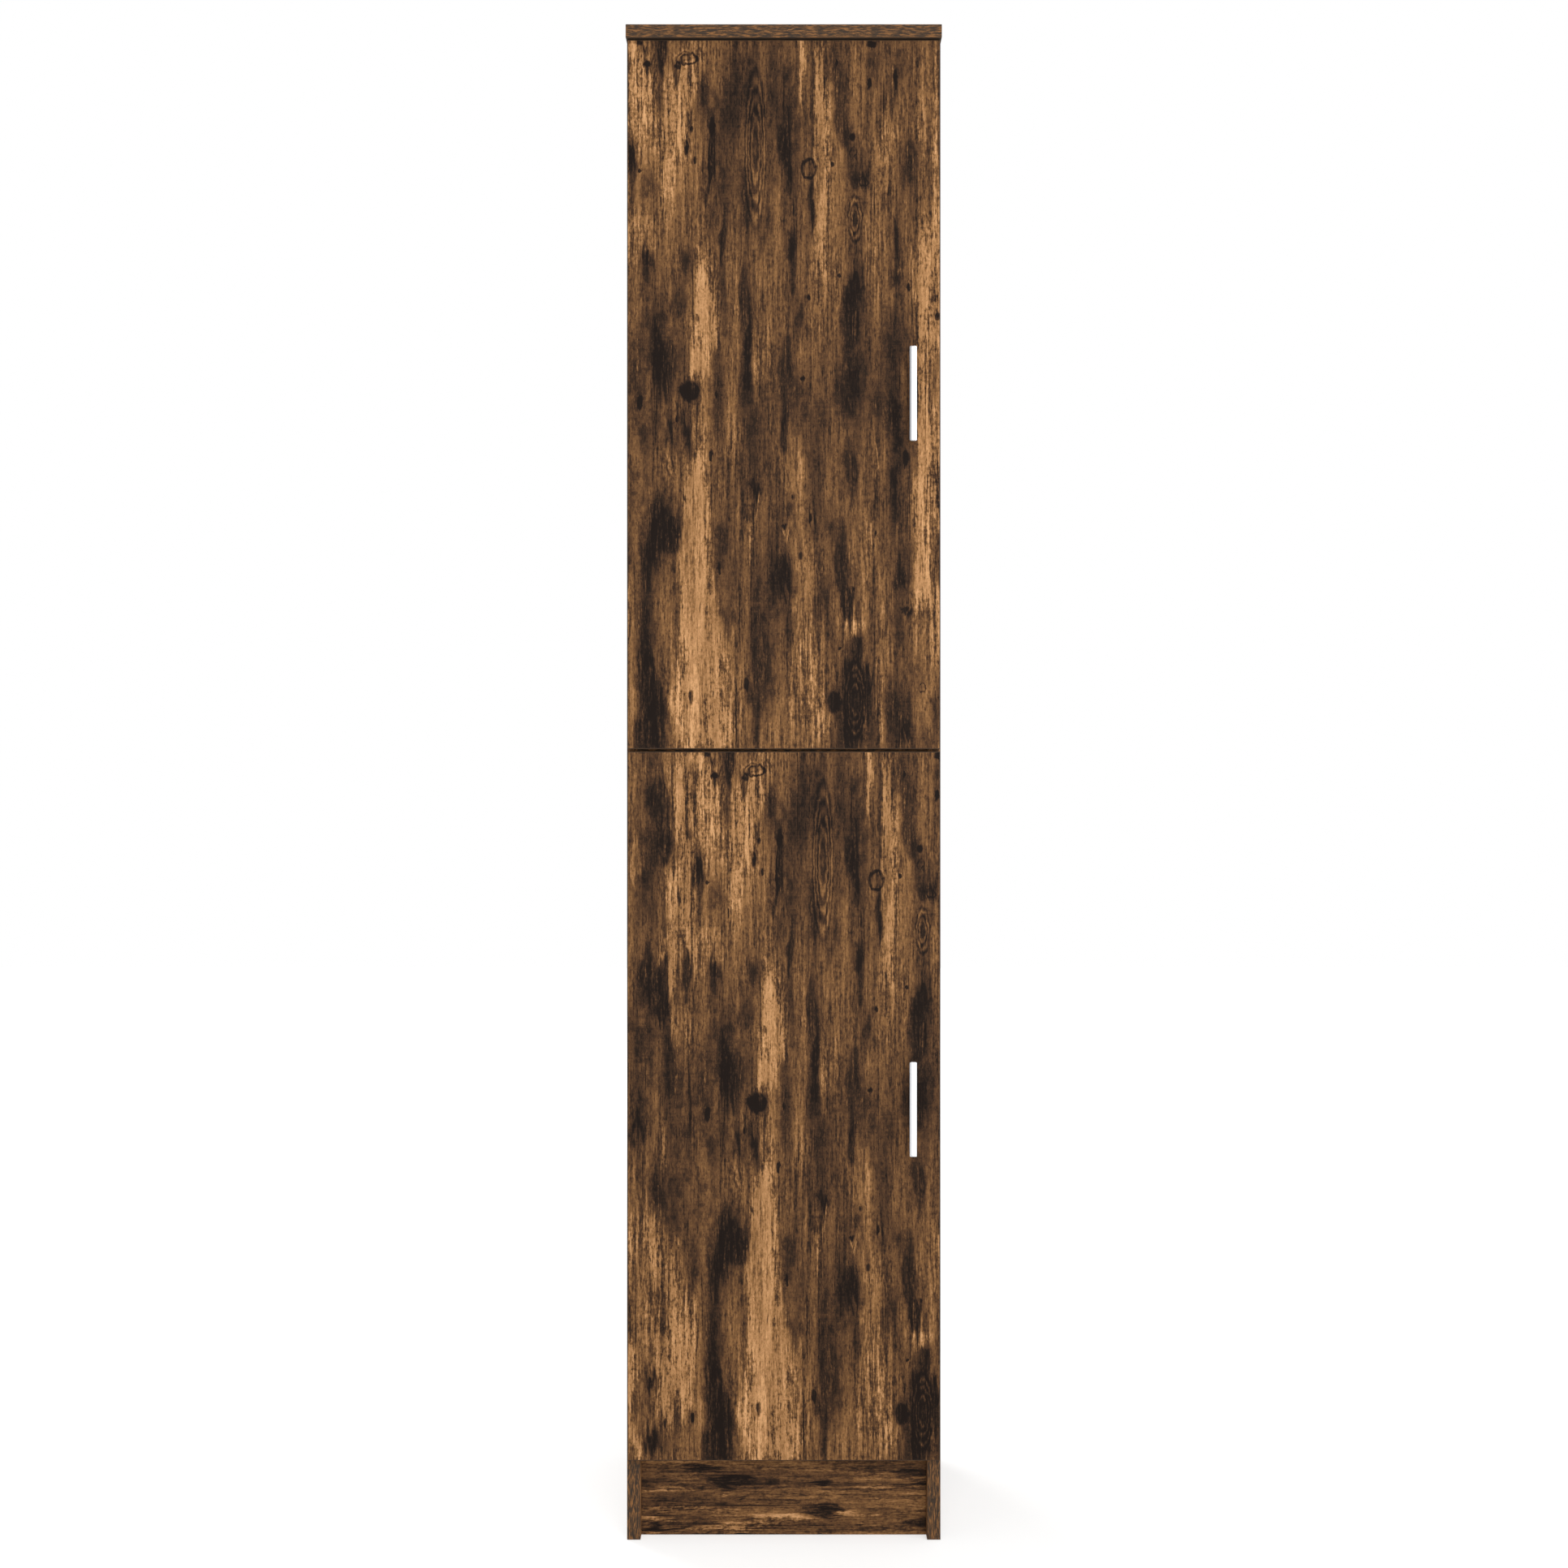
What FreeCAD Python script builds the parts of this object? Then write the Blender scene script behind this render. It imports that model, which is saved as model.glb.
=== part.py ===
import FreeCAD, Part
import math
import os
from FreeCAD import Rotation, Vector

# Tall two-door cupboard. Millimetres, +Z up, the front faces -Y, +X is the viewer's right.
# The origin is the middle of the footprint on the floor, handles included.

# Whole cabinet
WIDTH = 374.0
HEIGHT = 1800.0
TOP_DEPTH = 355.0
BOARD = 16.0
BACK_BOARD = 3.0
ARRIS = 0.8

# Top board and plinth
TOP_OVERHANG = 5.0
PLINTH_HEIGHT = 100.0
PLINTH_RECESS = 18.0
PLINTH_JOINT_HEIGHT = 50.0
PLINTH_DOWEL_OFFSET = 28.0
MIDDLE_SETBACK = 3.0

# Doors, hinged on the left
DOOR_BOARD = 16.0
DOOR_BACK_GAP = 3.0
DOOR_SIDE_REVEAL = 1.5
DOOR_TOP_GAP = 1.0
DOOR_BETWEEN_GAP = 3.0

# Bar handles on two legs
HANDLE_LENGTH = 112.4
HANDLE_PITCH = 96.0
HANDLE_WIDTH = 8.2
HANDLE_PROJECTION = 18.0
HANDLE_BAR = 6.0
HANDLE_FLAT = 3.2
HANDLE_CROWN = 1.1
HANDLE_BEND = 2.0
HANDLE_OVERHANG = 4.2
HANDLE_FOOT = 10.7
HANDLE_LEG = 8.0
HANDLE_FILLET = 6.0
HANDLE_INSET = 33.0
HANDLE_DROP = 1.5
HANDLE_SCREW_RADIUS = 2.0
HANDLE_SCREW_HEAD_RADIUS = 3.9
HANDLE_SCREW_HEAD_HEIGHT = 2.2
HANDLE_SCREW_BITE = 7.0
HANDLE_HOLE_RADIUS = 2.25

# Shelves and their pins
SHELVES_PER_DOOR = 2
SHELF_SETBACK = 24.0
SHELF_SIDE_GAP = 1.0
SHELF_BACK_GAP = 2.0
PIN_RADIUS = 2.5
PIN_COLLAR_RADIUS = 3.6
PIN_COLLAR_THICKNESS = 0.9
PIN_IN_BOARD = 9.0
PIN_REACH = 8.0
PIN_FROM_EDGE = 40.0

# Knock-down joints
JOINT_FROM_EDGE = 50.0
DOWEL_FROM_JOINT = 40.0
DOWEL_RADIUS = 4.0
DOWEL_LENGTH = 30.0
CAM_RADIUS = 7.5
CAM_HEIGHT = 12.2
CAM_SETBACK = 24.0
CAM_SLOT_LENGTH = 8.2
CAM_SLOT_WIDTH = 1.4
CAM_SLOT_DEPTH = 2.0
BOLT_THREAD_RADIUS = 2.5
BOLT_COLLAR_RADIUS = 3.6
BOLT_COLLAR_THICKNESS = 1.0
BOLT_SHANK_RADIUS = 1.8
BOLT_HEAD_RADIUS = 3.0
BOLT_HEAD_LENGTH = 3.0
BOLT_BORE_RADIUS = 4.0
FACE_BORE = 11.0
FIT = 0.1
BORE_END_GAP = 0.5

# Back boards, nails and wall brackets
RABBET = 8.0
RABBET_GAP = 0.5
NAIL_RADIUS = 0.8
NAIL_HEAD_RADIUS = 2.2
NAIL_HEAD_THICKNESS = 0.8
NAIL_LENGTH = 18.0
NAIL_FROM_SEAM = 3.5
BRACKET_SPACING = 200.0
BRACKET_LEG = 30.0
BRACKET_WIDTH = 20.0
BRACKET_SHEET = 2.0
BRACKET_HOLE_OFFSET = 16.5
WALL_HOLE_RADIUS = 2.75

# Wood screws of the brackets and hinges
WOOD_SCREW_RADIUS = 1.75
WOOD_SCREW_HEAD_RADIUS = 3.2
WOOD_SCREW_HEAD_HEIGHT = 1.6
WOOD_SCREW_BITE = 11.0

# Concealed cup hinges
HINGE_FROM_END = 100.0
SWING = 100.0
CUP_RADIUS = 17.5
CUP_DEPTH = 12.0
CUP_FROM_EDGE = 2.2
CUP_SHEET = 0.8
CUP_CHAMFER = 1.2
FLANGE_SHEET = 1.0
FLANGE_RIM = 1.0
FLANGE_TAB_RADIUS = 6.0
LUG_REACH = 4.0
LUG_DEPTH = 1.2
CUP_SCREW_SPACING = 45.0
CUP_SCREW_BACK = 9.5
POLE_FROM_EDGE = 6.1
POLE_DEPTH = 6.0
DEEP_PIN_OFFSET = 2.0
SHALLOW_PIN_OFFSET = 1.8
PIN_TILT = 80.0
LINK_PIN_RADIUS = 1.0
OPEN_PIVOT_PLAY = 0.6
CUP_EYE_RADIUS = 2.1
LINK_WIDTH = 3.0
INNER_BEND_OUT = 1.9
INNER_BEND_FORWARD = 2.3
OUTER_BEND_OUT = 1.8
OUTER_BEND_FORWARD = 2.7
INNER_LINK_HALF = 2.5
LINK_SHEET = 1.2
LAYER_GAP = 0.4
ARM_PIN_RADIUS = 1.25
RUNNING = 0.08
PIN_SEAT = 0.05
LINK_EYE_RADIUS = 2.4
REAR_PIN_HEIGHT = 4.6
FRONT_PIN_HEIGHT = 9.0
ARM_EYE_RADIUS = 3.0
ARM_LENGTH = 64.0
ARM_HEIGHT = 12.5
ARM_THROAT = 2.0
ARM_FLOOR_GAP = 0.5
ARM_SCREW_RADIUS = 2.0
ARM_SCREW_HEAD_RADIUS = 3.4
ARM_SCREW_HEAD_HEIGHT = 1.8
ARM_SCREW_BITE = 5.0
ARM_SCREW_FRONT = 29.0
ARM_SCREW_REAR = 53.0
PLATE_SCREW_BACK = 37.0
PLATE_SCREW_SPACING = 32.0
PLATE_SHEET = 2.0
PLATE_WING = 6.0
PLATE_FRONT = 14.0
PLATE_REAR = 22.0
PLATE_STEP = 2.0

# Derived planes
side_depth = TOP_DEPTH - TOP_OVERHANG - DOOR_BOARD - DOOR_BACK_GAP
total_depth = side_depth + DOOR_BACK_GAP + DOOR_BOARD + max(HANDLE_PROJECTION, TOP_OVERHANG)
y_back = total_depth / 2.0
y_front = y_back - side_depth
y_door_back = y_front - DOOR_BACK_GAP
y_door = y_door_back - DOOR_BOARD
x_out = WIDTH / 2.0
x_in = x_out - BOARD
z_top = HEIGHT - BOARD
y_inside = y_back - BACK_BOARD
door_height = (z_top - DOOR_TOP_GAP - PLINTH_HEIGHT - DOOR_BETWEEN_GAP) / 2.0
z_lower = PLINTH_HEIGHT
z_upper = z_lower + door_height + DOOR_BETWEEN_GAP
z_middle = z_upper - (DOOR_BETWEEN_GAP + BOARD) / 2.0
z_seam = z_middle + BOARD / 2.0
x_door_left = -x_out + DOOR_SIDE_REVEAL
x_door_right = x_out - DOOR_SIDE_REVEAL
door_bottoms = {"upper": z_upper, "lower": z_lower}
bore_depth = FACE_BORE + BORE_END_GAP

X = Vector(1, 0, 0)
Y = Vector(0, 1, 0)
Z = Vector(0, 0, 1)

joint_ys = (y_front + JOINT_FROM_EDGE, y_inside - JOINT_FROM_EDGE)
dowel_ys = (joint_ys[0] + DOWEL_FROM_JOINT, joint_ys[1] - DOWEL_FROM_JOINT)
plinth_y = y_front + PLINTH_RECESS + BOARD / 2.0
plinth_dowel_zs = (PLINTH_JOINT_HEIGHT - PLINTH_DOWEL_OFFSET, PLINTH_JOINT_HEIGHT + PLINTH_DOWEL_OFFSET)


def box(x0, x1, y0, y1, z0, z1):
    return Part.makeBox(x1 - x0, y1 - y0, z1 - z0, Vector(x0, y0, z0))


def rod(start, direction, radius, length):
    return Part.makeCylinder(radius, length, start, direction)


def drill(solid, tools):
    return solid.cut(Part.makeCompound(tools)) if tools else solid


def join(solids):
    return solids[0].fuse(solids[1:]).removeSplitter()


def rounded(solid, radius, chosen):
    return solid.makeFillet(radius, [e for e in solid.Edges if chosen(e.CenterOfMass)])


def along(start, direction, steps):
    """A turned piece: (radius, length) steps one after another along a direction."""
    pieces = []
    at = Vector(start)
    for radius, length in steps:
        pieces.append(rod(at, direction, radius, length))
        at = at + direction * length
    return join(pieces)


def screw(seat, direction, head_radius, head_height, shank_radius, length):
    """A cross-recess screw whose head stands on the seat and whose shank runs along the direction."""
    crown = head_height / 2.0
    profile = Part.makePolygon([
        Vector(0, 0, -head_height), Vector(head_radius - crown, 0, -head_height),
        Vector(head_radius, 0, -crown), Vector(head_radius, 0, 0), Vector(shank_radius, 0, 0),
        Vector(shank_radius, 0, length), Vector(0, 0, length), Vector(0, 0, -head_height)])
    body = Part.Face(profile).revolve(Vector(0, 0, 0), Z, 360)
    reach = head_radius / 2.0
    slot = head_radius / 9.0
    recess = [
        box(-reach, reach, -slot, slot, -head_height, -crown),
        box(-slot, slot, -reach, reach, -head_height, -crown),
    ]
    body = body.cut(join(recess))
    body.Placement = FreeCAD.Placement(seat, Rotation(Z, direction))
    return body


def board_joints():
    """Cam joints: (point on the bored board's face, direction into the other board, cam face direction)."""
    joints = []
    for side in (-1, 1):
        for y in joint_ys:
            for z in (PLINTH_HEIGHT + BOARD / 2.0, z_seam):
                joints.append((Vector(side * x_in, y, z), X * -side, Z * -1))
            joints.append((Vector(side * (x_out - BOARD / 2.0), y, z_top), Z * -1, X * -side))
        joints.append((Vector(side * x_in, plinth_y, PLINTH_JOINT_HEIGHT), X * -side, Y))
    return joints


def dowel_places():
    """Dowel axes: (face point, direction into the board end)."""
    places = []
    for side in (-1, 1):
        for y in dowel_ys:
            for z in (PLINTH_HEIGHT + BOARD / 2.0, z_seam):
                places.append((Vector(side * x_in, y, z), X * -side))
            places.append((Vector(side * (x_out - BOARD / 2.0), y, z_top), Z * -1))
        for z in plinth_dowel_zs:
            places.append((Vector(side * x_in, plinth_y, z), X * -side))
    return places


def joint_bores():
    """Every bore of the knock-down joints, to be taken out of all the boards they cross."""
    tools = []
    for face, into, out in board_joints():
        centre = face + into * CAM_SETBACK
        tools.append(rod(face - into * bore_depth, into, BOLT_THREAD_RADIUS + FIT, bore_depth))
        tools.append(rod(face, into, BOLT_BORE_RADIUS, CAM_SETBACK))
        floor = centre + out * (BOARD / 2.0 - CAM_HEIGHT - BORE_END_GAP)
        tools.append(rod(floor, out, CAM_RADIUS + FIT, CAM_HEIGHT + BORE_END_GAP))
    for face, into in dowel_places():
        start = face - into * bore_depth
        tools.append(rod(start, into, DOWEL_RADIUS + FIT, DOWEL_LENGTH + 2 * BORE_END_GAP))
    return tools


def cam_locks():
    cams = []
    for face, into, out in board_joints():
        centre = face + into * CAM_SETBACK
        surface = centre + out * (BOARD / 2.0)
        cam = rod(surface - out * CAM_HEIGHT, out, CAM_RADIUS, CAM_HEIGHT)
        channel = rod(face, into, BOLT_BORE_RADIUS, CAM_SETBACK + BOLT_HEAD_LENGTH)
        slots = []
        for line in (into, into.cross(out)):
            half = line * (CAM_SLOT_LENGTH / 2.0)
            thin = line.cross(out) * (CAM_SLOT_WIDTH / 2.0)
            outline = Part.makePolygon([
                surface - half - thin, surface + half - thin,
                surface + half + thin, surface - half + thin, surface - half - thin])
            slots.append(Part.Face(outline).extrude(out * -CAM_SLOT_DEPTH))
        cams.append(cam.cut([channel, join(slots)]))
    return cams


def cam_bolts():
    bolts = []
    for face, into, out in board_joints():
        shank = CAM_SETBACK - BOLT_COLLAR_THICKNESS - BOLT_HEAD_LENGTH / 2.0
        steps = [
            (BOLT_THREAD_RADIUS, FACE_BORE), (BOLT_COLLAR_RADIUS, BOLT_COLLAR_THICKNESS),
            (BOLT_SHANK_RADIUS, shank), (BOLT_HEAD_RADIUS, BOLT_HEAD_LENGTH)]
        bolts.append(along(face - into * FACE_BORE, into, steps))
    return bolts


def wood_dowels():
    return [rod(face - into * FACE_BORE, into, DOWEL_RADIUS, DOWEL_LENGTH) for face, into in dowel_places()]


def shelf_levels():
    """Underside heights of the shelves, spread evenly over each compartment."""
    levels = {}
    for name, floor, ceiling in (
        ("upper", z_middle + BOARD, z_top), ("lower", PLINTH_HEIGHT + BOARD, z_middle)):
        step = (ceiling - floor - SHELVES_PER_DOOR * BOARD) / (SHELVES_PER_DOOR + 1)
        levels[name] = [floor + step * (i + 1) + BOARD * i for i in range(SHELVES_PER_DOOR)]
    return levels


def pin_places():
    """Pin axes: (point on the side board's inner face, direction into the cupboard)."""
    places = []
    for levels in shelf_levels().values():
        for z in levels:
            for side in (-1, 1):
                for y in (y_front + SHELF_SETBACK + PIN_FROM_EDGE, y_inside - PIN_FROM_EDGE):
                    places.append((Vector(side * x_in, y, z - PIN_RADIUS), X * -side))
    return places


def shelf_pins():
    pins = []
    for face, into in pin_places():
        steps = [
            (PIN_RADIUS, PIN_IN_BOARD), (PIN_COLLAR_RADIUS, PIN_COLLAR_THICKNESS), (PIN_RADIUS, PIN_REACH)]
        pins.append(along(face - into * PIN_IN_BOARD, into, steps))
    return pins


def pin_bores():
    depth = PIN_IN_BOARD + BORE_END_GAP
    return [rod(face - into * depth, into, PIN_RADIUS + FIT, depth) for face, into in pin_places()]


def nail_places():
    """Nail points on the rear plane: at the quarter heights of each back board, and along its levels."""
    x_edge = x_in + RABBET / 2.0
    places = []
    for side in (-1, 1):
        for low, high in ((PLINTH_HEIGHT, z_seam), (z_seam, z_top)):
            for quarter in (1, 3):
                places.append(Vector(side * x_edge, y_back, low + (high - low) * quarter / 4.0))
        for z in (PLINTH_HEIGHT + BOARD / 2.0, z_seam - NAIL_FROM_SEAM, z_seam + NAIL_FROM_SEAM):
            places.append(Vector(side * x_in / 2.0, y_back, z))
    return places


def back_nails():
    steps = [(NAIL_HEAD_RADIUS, NAIL_HEAD_THICKNESS), (NAIL_RADIUS, NAIL_LENGTH)]
    return [along(place, Y * -1, steps) for place in nail_places()]


def nail_bores():
    tools = []
    for place in nail_places():
        tools.append(rod(place, Y * -1, NAIL_HEAD_RADIUS + FIT, NAIL_HEAD_THICKNESS))
        depth = NAIL_HEAD_THICKNESS + NAIL_LENGTH + BORE_END_GAP
        tools.append(rod(place, Y * -1, NAIL_RADIUS + FIT, depth))
    return tools


def bracket_places():
    return (-BRACKET_SPACING / 2.0, BRACKET_SPACING / 2.0)


def wall_brackets():
    brackets = []
    for x in bracket_places():
        half = BRACKET_WIDTH / 2.0
        wall_leg = box(x - half, x + half, y_inside - BRACKET_SHEET, y_inside, z_top - BRACKET_LEG, z_top)
        top_leg = box(x - half, x + half, y_inside - BRACKET_LEG, y_inside, z_top - BRACKET_SHEET, z_top)
        angle = join([wall_leg, top_leg])
        angle = rounded(angle, BRACKET_SHEET, lambda c: abs(c.y - (y_inside - BRACKET_SHEET)) < 1e-6
                        and abs(c.z - (z_top - BRACKET_SHEET)) < 1e-6)
        brackets.append(drill(angle, bracket_bores(x)))
    return brackets


def bracket_screw_seat(x):
    return Vector(x, y_inside - BRACKET_HOLE_OFFSET, z_top - BRACKET_SHEET)


def bracket_bores(x):
    start = Vector(x, y_inside - BRACKET_SHEET, z_top - BRACKET_HOLE_OFFSET)
    wall = rod(start, Y, WALL_HOLE_RADIUS, BRACKET_SHEET + BACK_BOARD)
    depth = BRACKET_SHEET + WOOD_SCREW_BITE + BORE_END_GAP
    return [wall, rod(bracket_screw_seat(x), Z, WOOD_SCREW_RADIUS + FIT, depth)]


def wood_screw(seat, direction, sheet):
    """A wood screw that holds a sheet of the given thickness on a board."""
    return screw(seat, direction, WOOD_SCREW_HEAD_RADIUS, WOOD_SCREW_HEAD_HEIGHT, WOOD_SCREW_RADIUS,
                 sheet + WOOD_SCREW_BITE)


def bracket_screws():
    return [wood_screw(bracket_screw_seat(x), Z, BRACKET_SHEET) for x in bracket_places()]


def all_bracket_bores():
    return [bore for x in bracket_places() for bore in bracket_bores(x)]


def side_panel(side):
    x0, x1 = sorted((side * x_in, side * x_out))
    panel = box(x0, x1, y_front, y_back, 0, z_top)
    panel = rounded(panel, ARRIS, lambda c: abs(c.y - y_front) < 1e-6 and abs(c.z - z_top / 2.0) < 1e-6)
    rabbet = box(*sorted((side * x_in, side * (x_in + RABBET))), y_inside, y_back, 0, z_top)
    tools = joint_bores() + pin_bores() + nail_bores()
    if side < 0:
        tools += plate_screw_bores()
    return drill(panel.cut(rabbet), tools)


def top_panel():
    y_top_front = y_back - TOP_DEPTH
    panel = box(-x_out, x_out, y_top_front, y_back, z_top, HEIGHT)
    panel = rounded(panel, ARRIS, lambda c: abs(c.z - z_top) < 1e-6 or abs(c.z - HEIGHT) < 1e-6)
    return drill(panel, joint_bores() + all_bracket_bores())


def level_panel(z, setback):
    y0 = y_front + setback
    panel = box(-x_in, x_in, y0, y_inside, z, z + BOARD)
    panel = rounded(panel, ARRIS, lambda c: abs(c.y - y0) < 1e-6 and abs(c.x) < 1e-6)
    return drill(panel, joint_bores() + nail_bores())


def plinth_board():
    y0 = y_front + PLINTH_RECESS
    return drill(box(-x_in, x_in, y0, y0 + BOARD, 0, PLINTH_HEIGHT), joint_bores())


def back_panel(low, high):
    reach = x_in + RABBET - RABBET_GAP
    return drill(box(-reach, reach, y_inside, y_back, low, high), nail_bores() + all_bracket_bores())


def shelf(z):
    y0 = y_front + SHELF_SETBACK
    half = x_in - SHELF_SIDE_GAP
    panel = box(-half, half, y0, y_inside - SHELF_BACK_GAP, z, z + BOARD)
    return rounded(panel, ARRIS, lambda c: abs(c.y - y0) < 1e-6 and abs(c.x) < 1e-6)


def hinge_heights(name):
    z0 = door_bottoms[name]
    return (z0 + HINGE_FROM_END, z0 + door_height - HINGE_FROM_END)


def handle_holes(name):
    z = door_bottoms[name] + door_height / 2.0 - HANDLE_DROP
    half = HANDLE_PITCH / 2.0
    return [Vector(x_door_right - HANDLE_INSET, y_door_back, z + d) for d in (-half, half)]


def door(name):
    z0 = door_bottoms[name]
    slab = box(x_door_left, x_door_right, y_door, y_door_back, z0, z0 + door_height)
    slab = rounded(slab, ARRIS, lambda c: abs(c.y - y_door) < 1e-6 or abs(c.y - y_door_back) < 1e-6)
    tools = [rod(p, Y * -1, HANDLE_HOLE_RADIUS, DOOR_BOARD) for p in handle_holes(name)]
    for z in hinge_heights(name):
        u, v = cup_centre
        tools.append(rod(plan(u, v, z), Y * -1, CUP_RADIUS + FIT, CUP_DEPTH + BORE_END_GAP))
        for place in cup_screw_places(z):
            tools.append(rod(place, Y * -1, WOOD_SCREW_RADIUS + FIT, WOOD_SCREW_BITE + BORE_END_GAP))
    return drill(slab, tools)


def handle(name):
    """A bar handle: flat bar crowned on its outer faces, two tapering legs set in from its ends."""
    low, high = handle_holes(name)
    x = low.x
    z = (low.z + high.z) / 2.0
    half = HANDLE_LENGTH / 2.0
    front = y_door - HANDLE_PROJECTION
    bar_back = front + HANDLE_BAR
    wide = HANDLE_WIDTH / 2.0
    side = Part.makePolygon([
        Vector(x - wide, y_door, z - half), Vector(x - wide, front, z - half),
        Vector(x - wide, front, z + half), Vector(x - wide, y_door, z + half),
        Vector(x - wide, y_door, z - half)])
    body = Part.Face(side).extrude(X * HANDLE_WIDTH)
    body = rounded(body, HANDLE_BEND, lambda c: abs(c.y - front) < 1e-6 and abs(abs(c.z - z) - half) < 1e-6)
    legs_end = half - HANDLE_OVERHANG
    at_door = legs_end - HANDLE_FOOT
    at_bar = legs_end - HANDLE_LEG
    hollow = Part.Face(Part.makePolygon([
        Vector(x - wide, y_door, z - at_door), Vector(x - wide, bar_back, z - at_bar),
        Vector(x - wide, bar_back, z + at_bar), Vector(x - wide, y_door, z + at_door),
        Vector(x - wide, y_door, z - at_door)])).extrude(X * HANDLE_WIDTH)
    hollow = rounded(hollow, HANDLE_FILLET, lambda c: abs(c.y - bar_back) < 1e-6
                     and abs(abs(c.z - z) - at_bar) < 1e-6)
    under_ends = [box(x - wide, x + wide, bar_back, y_door, z0, z0 + HANDLE_OVERHANG)
                  for z0 in (z - half, z + legs_end)]
    body = body.cut([hollow] + under_ends)
    flat = HANDLE_FLAT / 2.0
    crown_front = Part.Face(Part.makePolygon([
        Vector(x - wide, y_door, z - half), Vector(x - wide, front + HANDLE_CROWN, z - half),
        Vector(x - flat, front, z - half), Vector(x + flat, front, z - half),
        Vector(x + wide, front + HANDLE_CROWN, z - half), Vector(x + wide, y_door, z - half),
        Vector(x - wide, y_door, z - half)])).extrude(Z * HANDLE_LENGTH)
    crown_ends = Part.Face(Part.makePolygon([
        Vector(x - wide, front, z - half + HANDLE_CROWN), Vector(x - flat, front, z - half),
        Vector(x + flat, front, z - half), Vector(x + wide, front, z - half + HANDLE_CROWN),
        Vector(x + wide, front, z + half - HANDLE_CROWN), Vector(x + flat, front, z + half),
        Vector(x - flat, front, z + half), Vector(x - wide, front, z + half - HANDLE_CROWN),
        Vector(x - wide, front, z - half + HANDLE_CROWN)])).extrude(Y * HANDLE_PROJECTION)
    body = body.common(crown_front).common(crown_ends)
    depth = HANDLE_SCREW_BITE + BORE_END_GAP
    tapped = [rod(p - Y * DOOR_BOARD, Y * -1, HANDLE_SCREW_RADIUS + FIT, depth) for p in handle_holes(name)]
    return drill(body, tapped)


def handle_screws(name):
    return [screw(p, Y * -1, HANDLE_SCREW_HEAD_RADIUS, HANDLE_SCREW_HEAD_HEIGHT, HANDLE_SCREW_RADIUS,
                  DOOR_BOARD + HANDLE_SCREW_BITE) for p in handle_holes(name)]


def plan(u, v, z):
    """Hinge plan: u inward from the left outer face, v forward from the front edges, z up."""
    return Vector(-x_out + u, y_front - v, z)


def turned(point, centre, degrees):
    a = math.radians(degrees)
    du, dv = point[0] - centre[0], point[1] - centre[1]
    return (centre[0] + du * math.cos(a) - dv * math.sin(a), centre[1] + du * math.sin(a) + dv * math.cos(a))


def polar(centre, radius, degrees):
    a = math.radians(degrees)
    return (centre[0] + radius * math.cos(a), centre[1] + radius * math.sin(a))


def on_line(start, degrees, u):
    """The point of a line through the pole that lies at the distance u from the outer face."""
    a = math.radians(degrees)
    reach = (u - start[0]) / math.cos(a)
    return (u, start[1] + reach * math.sin(a))


def heading(start, end):
    return math.degrees(math.atan2(end[1] - start[1], end[0] - start[0]))


# The door turns about one pole close to the cup's edge. Each link's arm pin lies on the bisector of
# its cup pin's travel, so the cup pin ends its swing at the distance from the arm pin it began at.
cup_centre = (DOOR_SIDE_REVEAL + CUP_FROM_EDGE + CUP_RADIUS, DOOR_BACK_GAP)
pole = (DOOR_SIDE_REVEAL + POLE_FROM_EDGE, DOOR_BACK_GAP + POLE_DEPTH)
deep_pin = polar(pole, DEEP_PIN_OFFSET, PIN_TILT)
shallow_pin = polar(pole, SHALLOW_PIN_OFFSET, -PIN_TILT)
rear_pin = on_line(pole, PIN_TILT + SWING / 2.0 - 180.0, BOARD + REAR_PIN_HEIGHT)
front_pin = on_line(pole, -PIN_TILT + SWING / 2.0, BOARD + FRONT_PIN_HEIGHT)


def link_turn(arm_pin, cup_pin):
    return heading(arm_pin, turned(cup_pin, pole, SWING)) - heading(arm_pin, cup_pin)


def link_eye(arm_pin, cup_pin):
    """The eye's place in the closed link: midway between the longest and shortest reach to the cup pin."""
    ends = math.dist(arm_pin, cup_pin)
    middle = math.dist(arm_pin, turned(cup_pin, pole, SWING / 2.0))
    return polar(arm_pin, (ends + middle) / 2.0, heading(arm_pin, cup_pin))


def elbow(arm_pin, cup_pin, out, forward):
    """The link's bend, set where it clears the cup's lip with the door open, turned back to closed."""
    lip = turned((DOOR_SIDE_REVEAL + CUP_FROM_EDGE + CUP_SHEET, DOOR_BACK_GAP - FLANGE_SHEET), pole, SWING)
    return turned((lip[0] + out, lip[1] + forward), arm_pin, -link_turn(arm_pin, cup_pin))


def disc(centre, radius, z0, z1):
    return rod(plan(centre[0], centre[1], z0), Z, radius, z1 - z0)


def strap(points, radius, z0, z1):
    """A bent strap with round ends along points of the hinge plan."""
    pieces = []
    for a, b in zip(points, points[1:]):
        length = math.dist(a, b)
        du, dv = (b[1] - a[1]) / length * radius, (a[0] - b[0]) / length * radius
        ring = [
            (a[0] + du, a[1] + dv), (b[0] + du, b[1] + dv),
            (b[0] - du, b[1] - dv), (a[0] - du, a[1] - dv)]
        outline = Part.makePolygon([plan(u, v, z0) for u, v in ring + ring[:1]])
        pieces.append(Part.Face(outline).extrude(Z * (z1 - z0)))
    pieces += [disc(p, radius, z0, z1) for p in points]
    return join(pieces)


outer_in = INNER_LINK_HALF + 2 * LAYER_GAP
outer_out = outer_in + LINK_SHEET
arm_in = outer_out + LAYER_GAP
arm_out = arm_in + LINK_SHEET


def both_sides(z, low, high):
    return ((z + low, z + high), (z - high, z - low))


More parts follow.
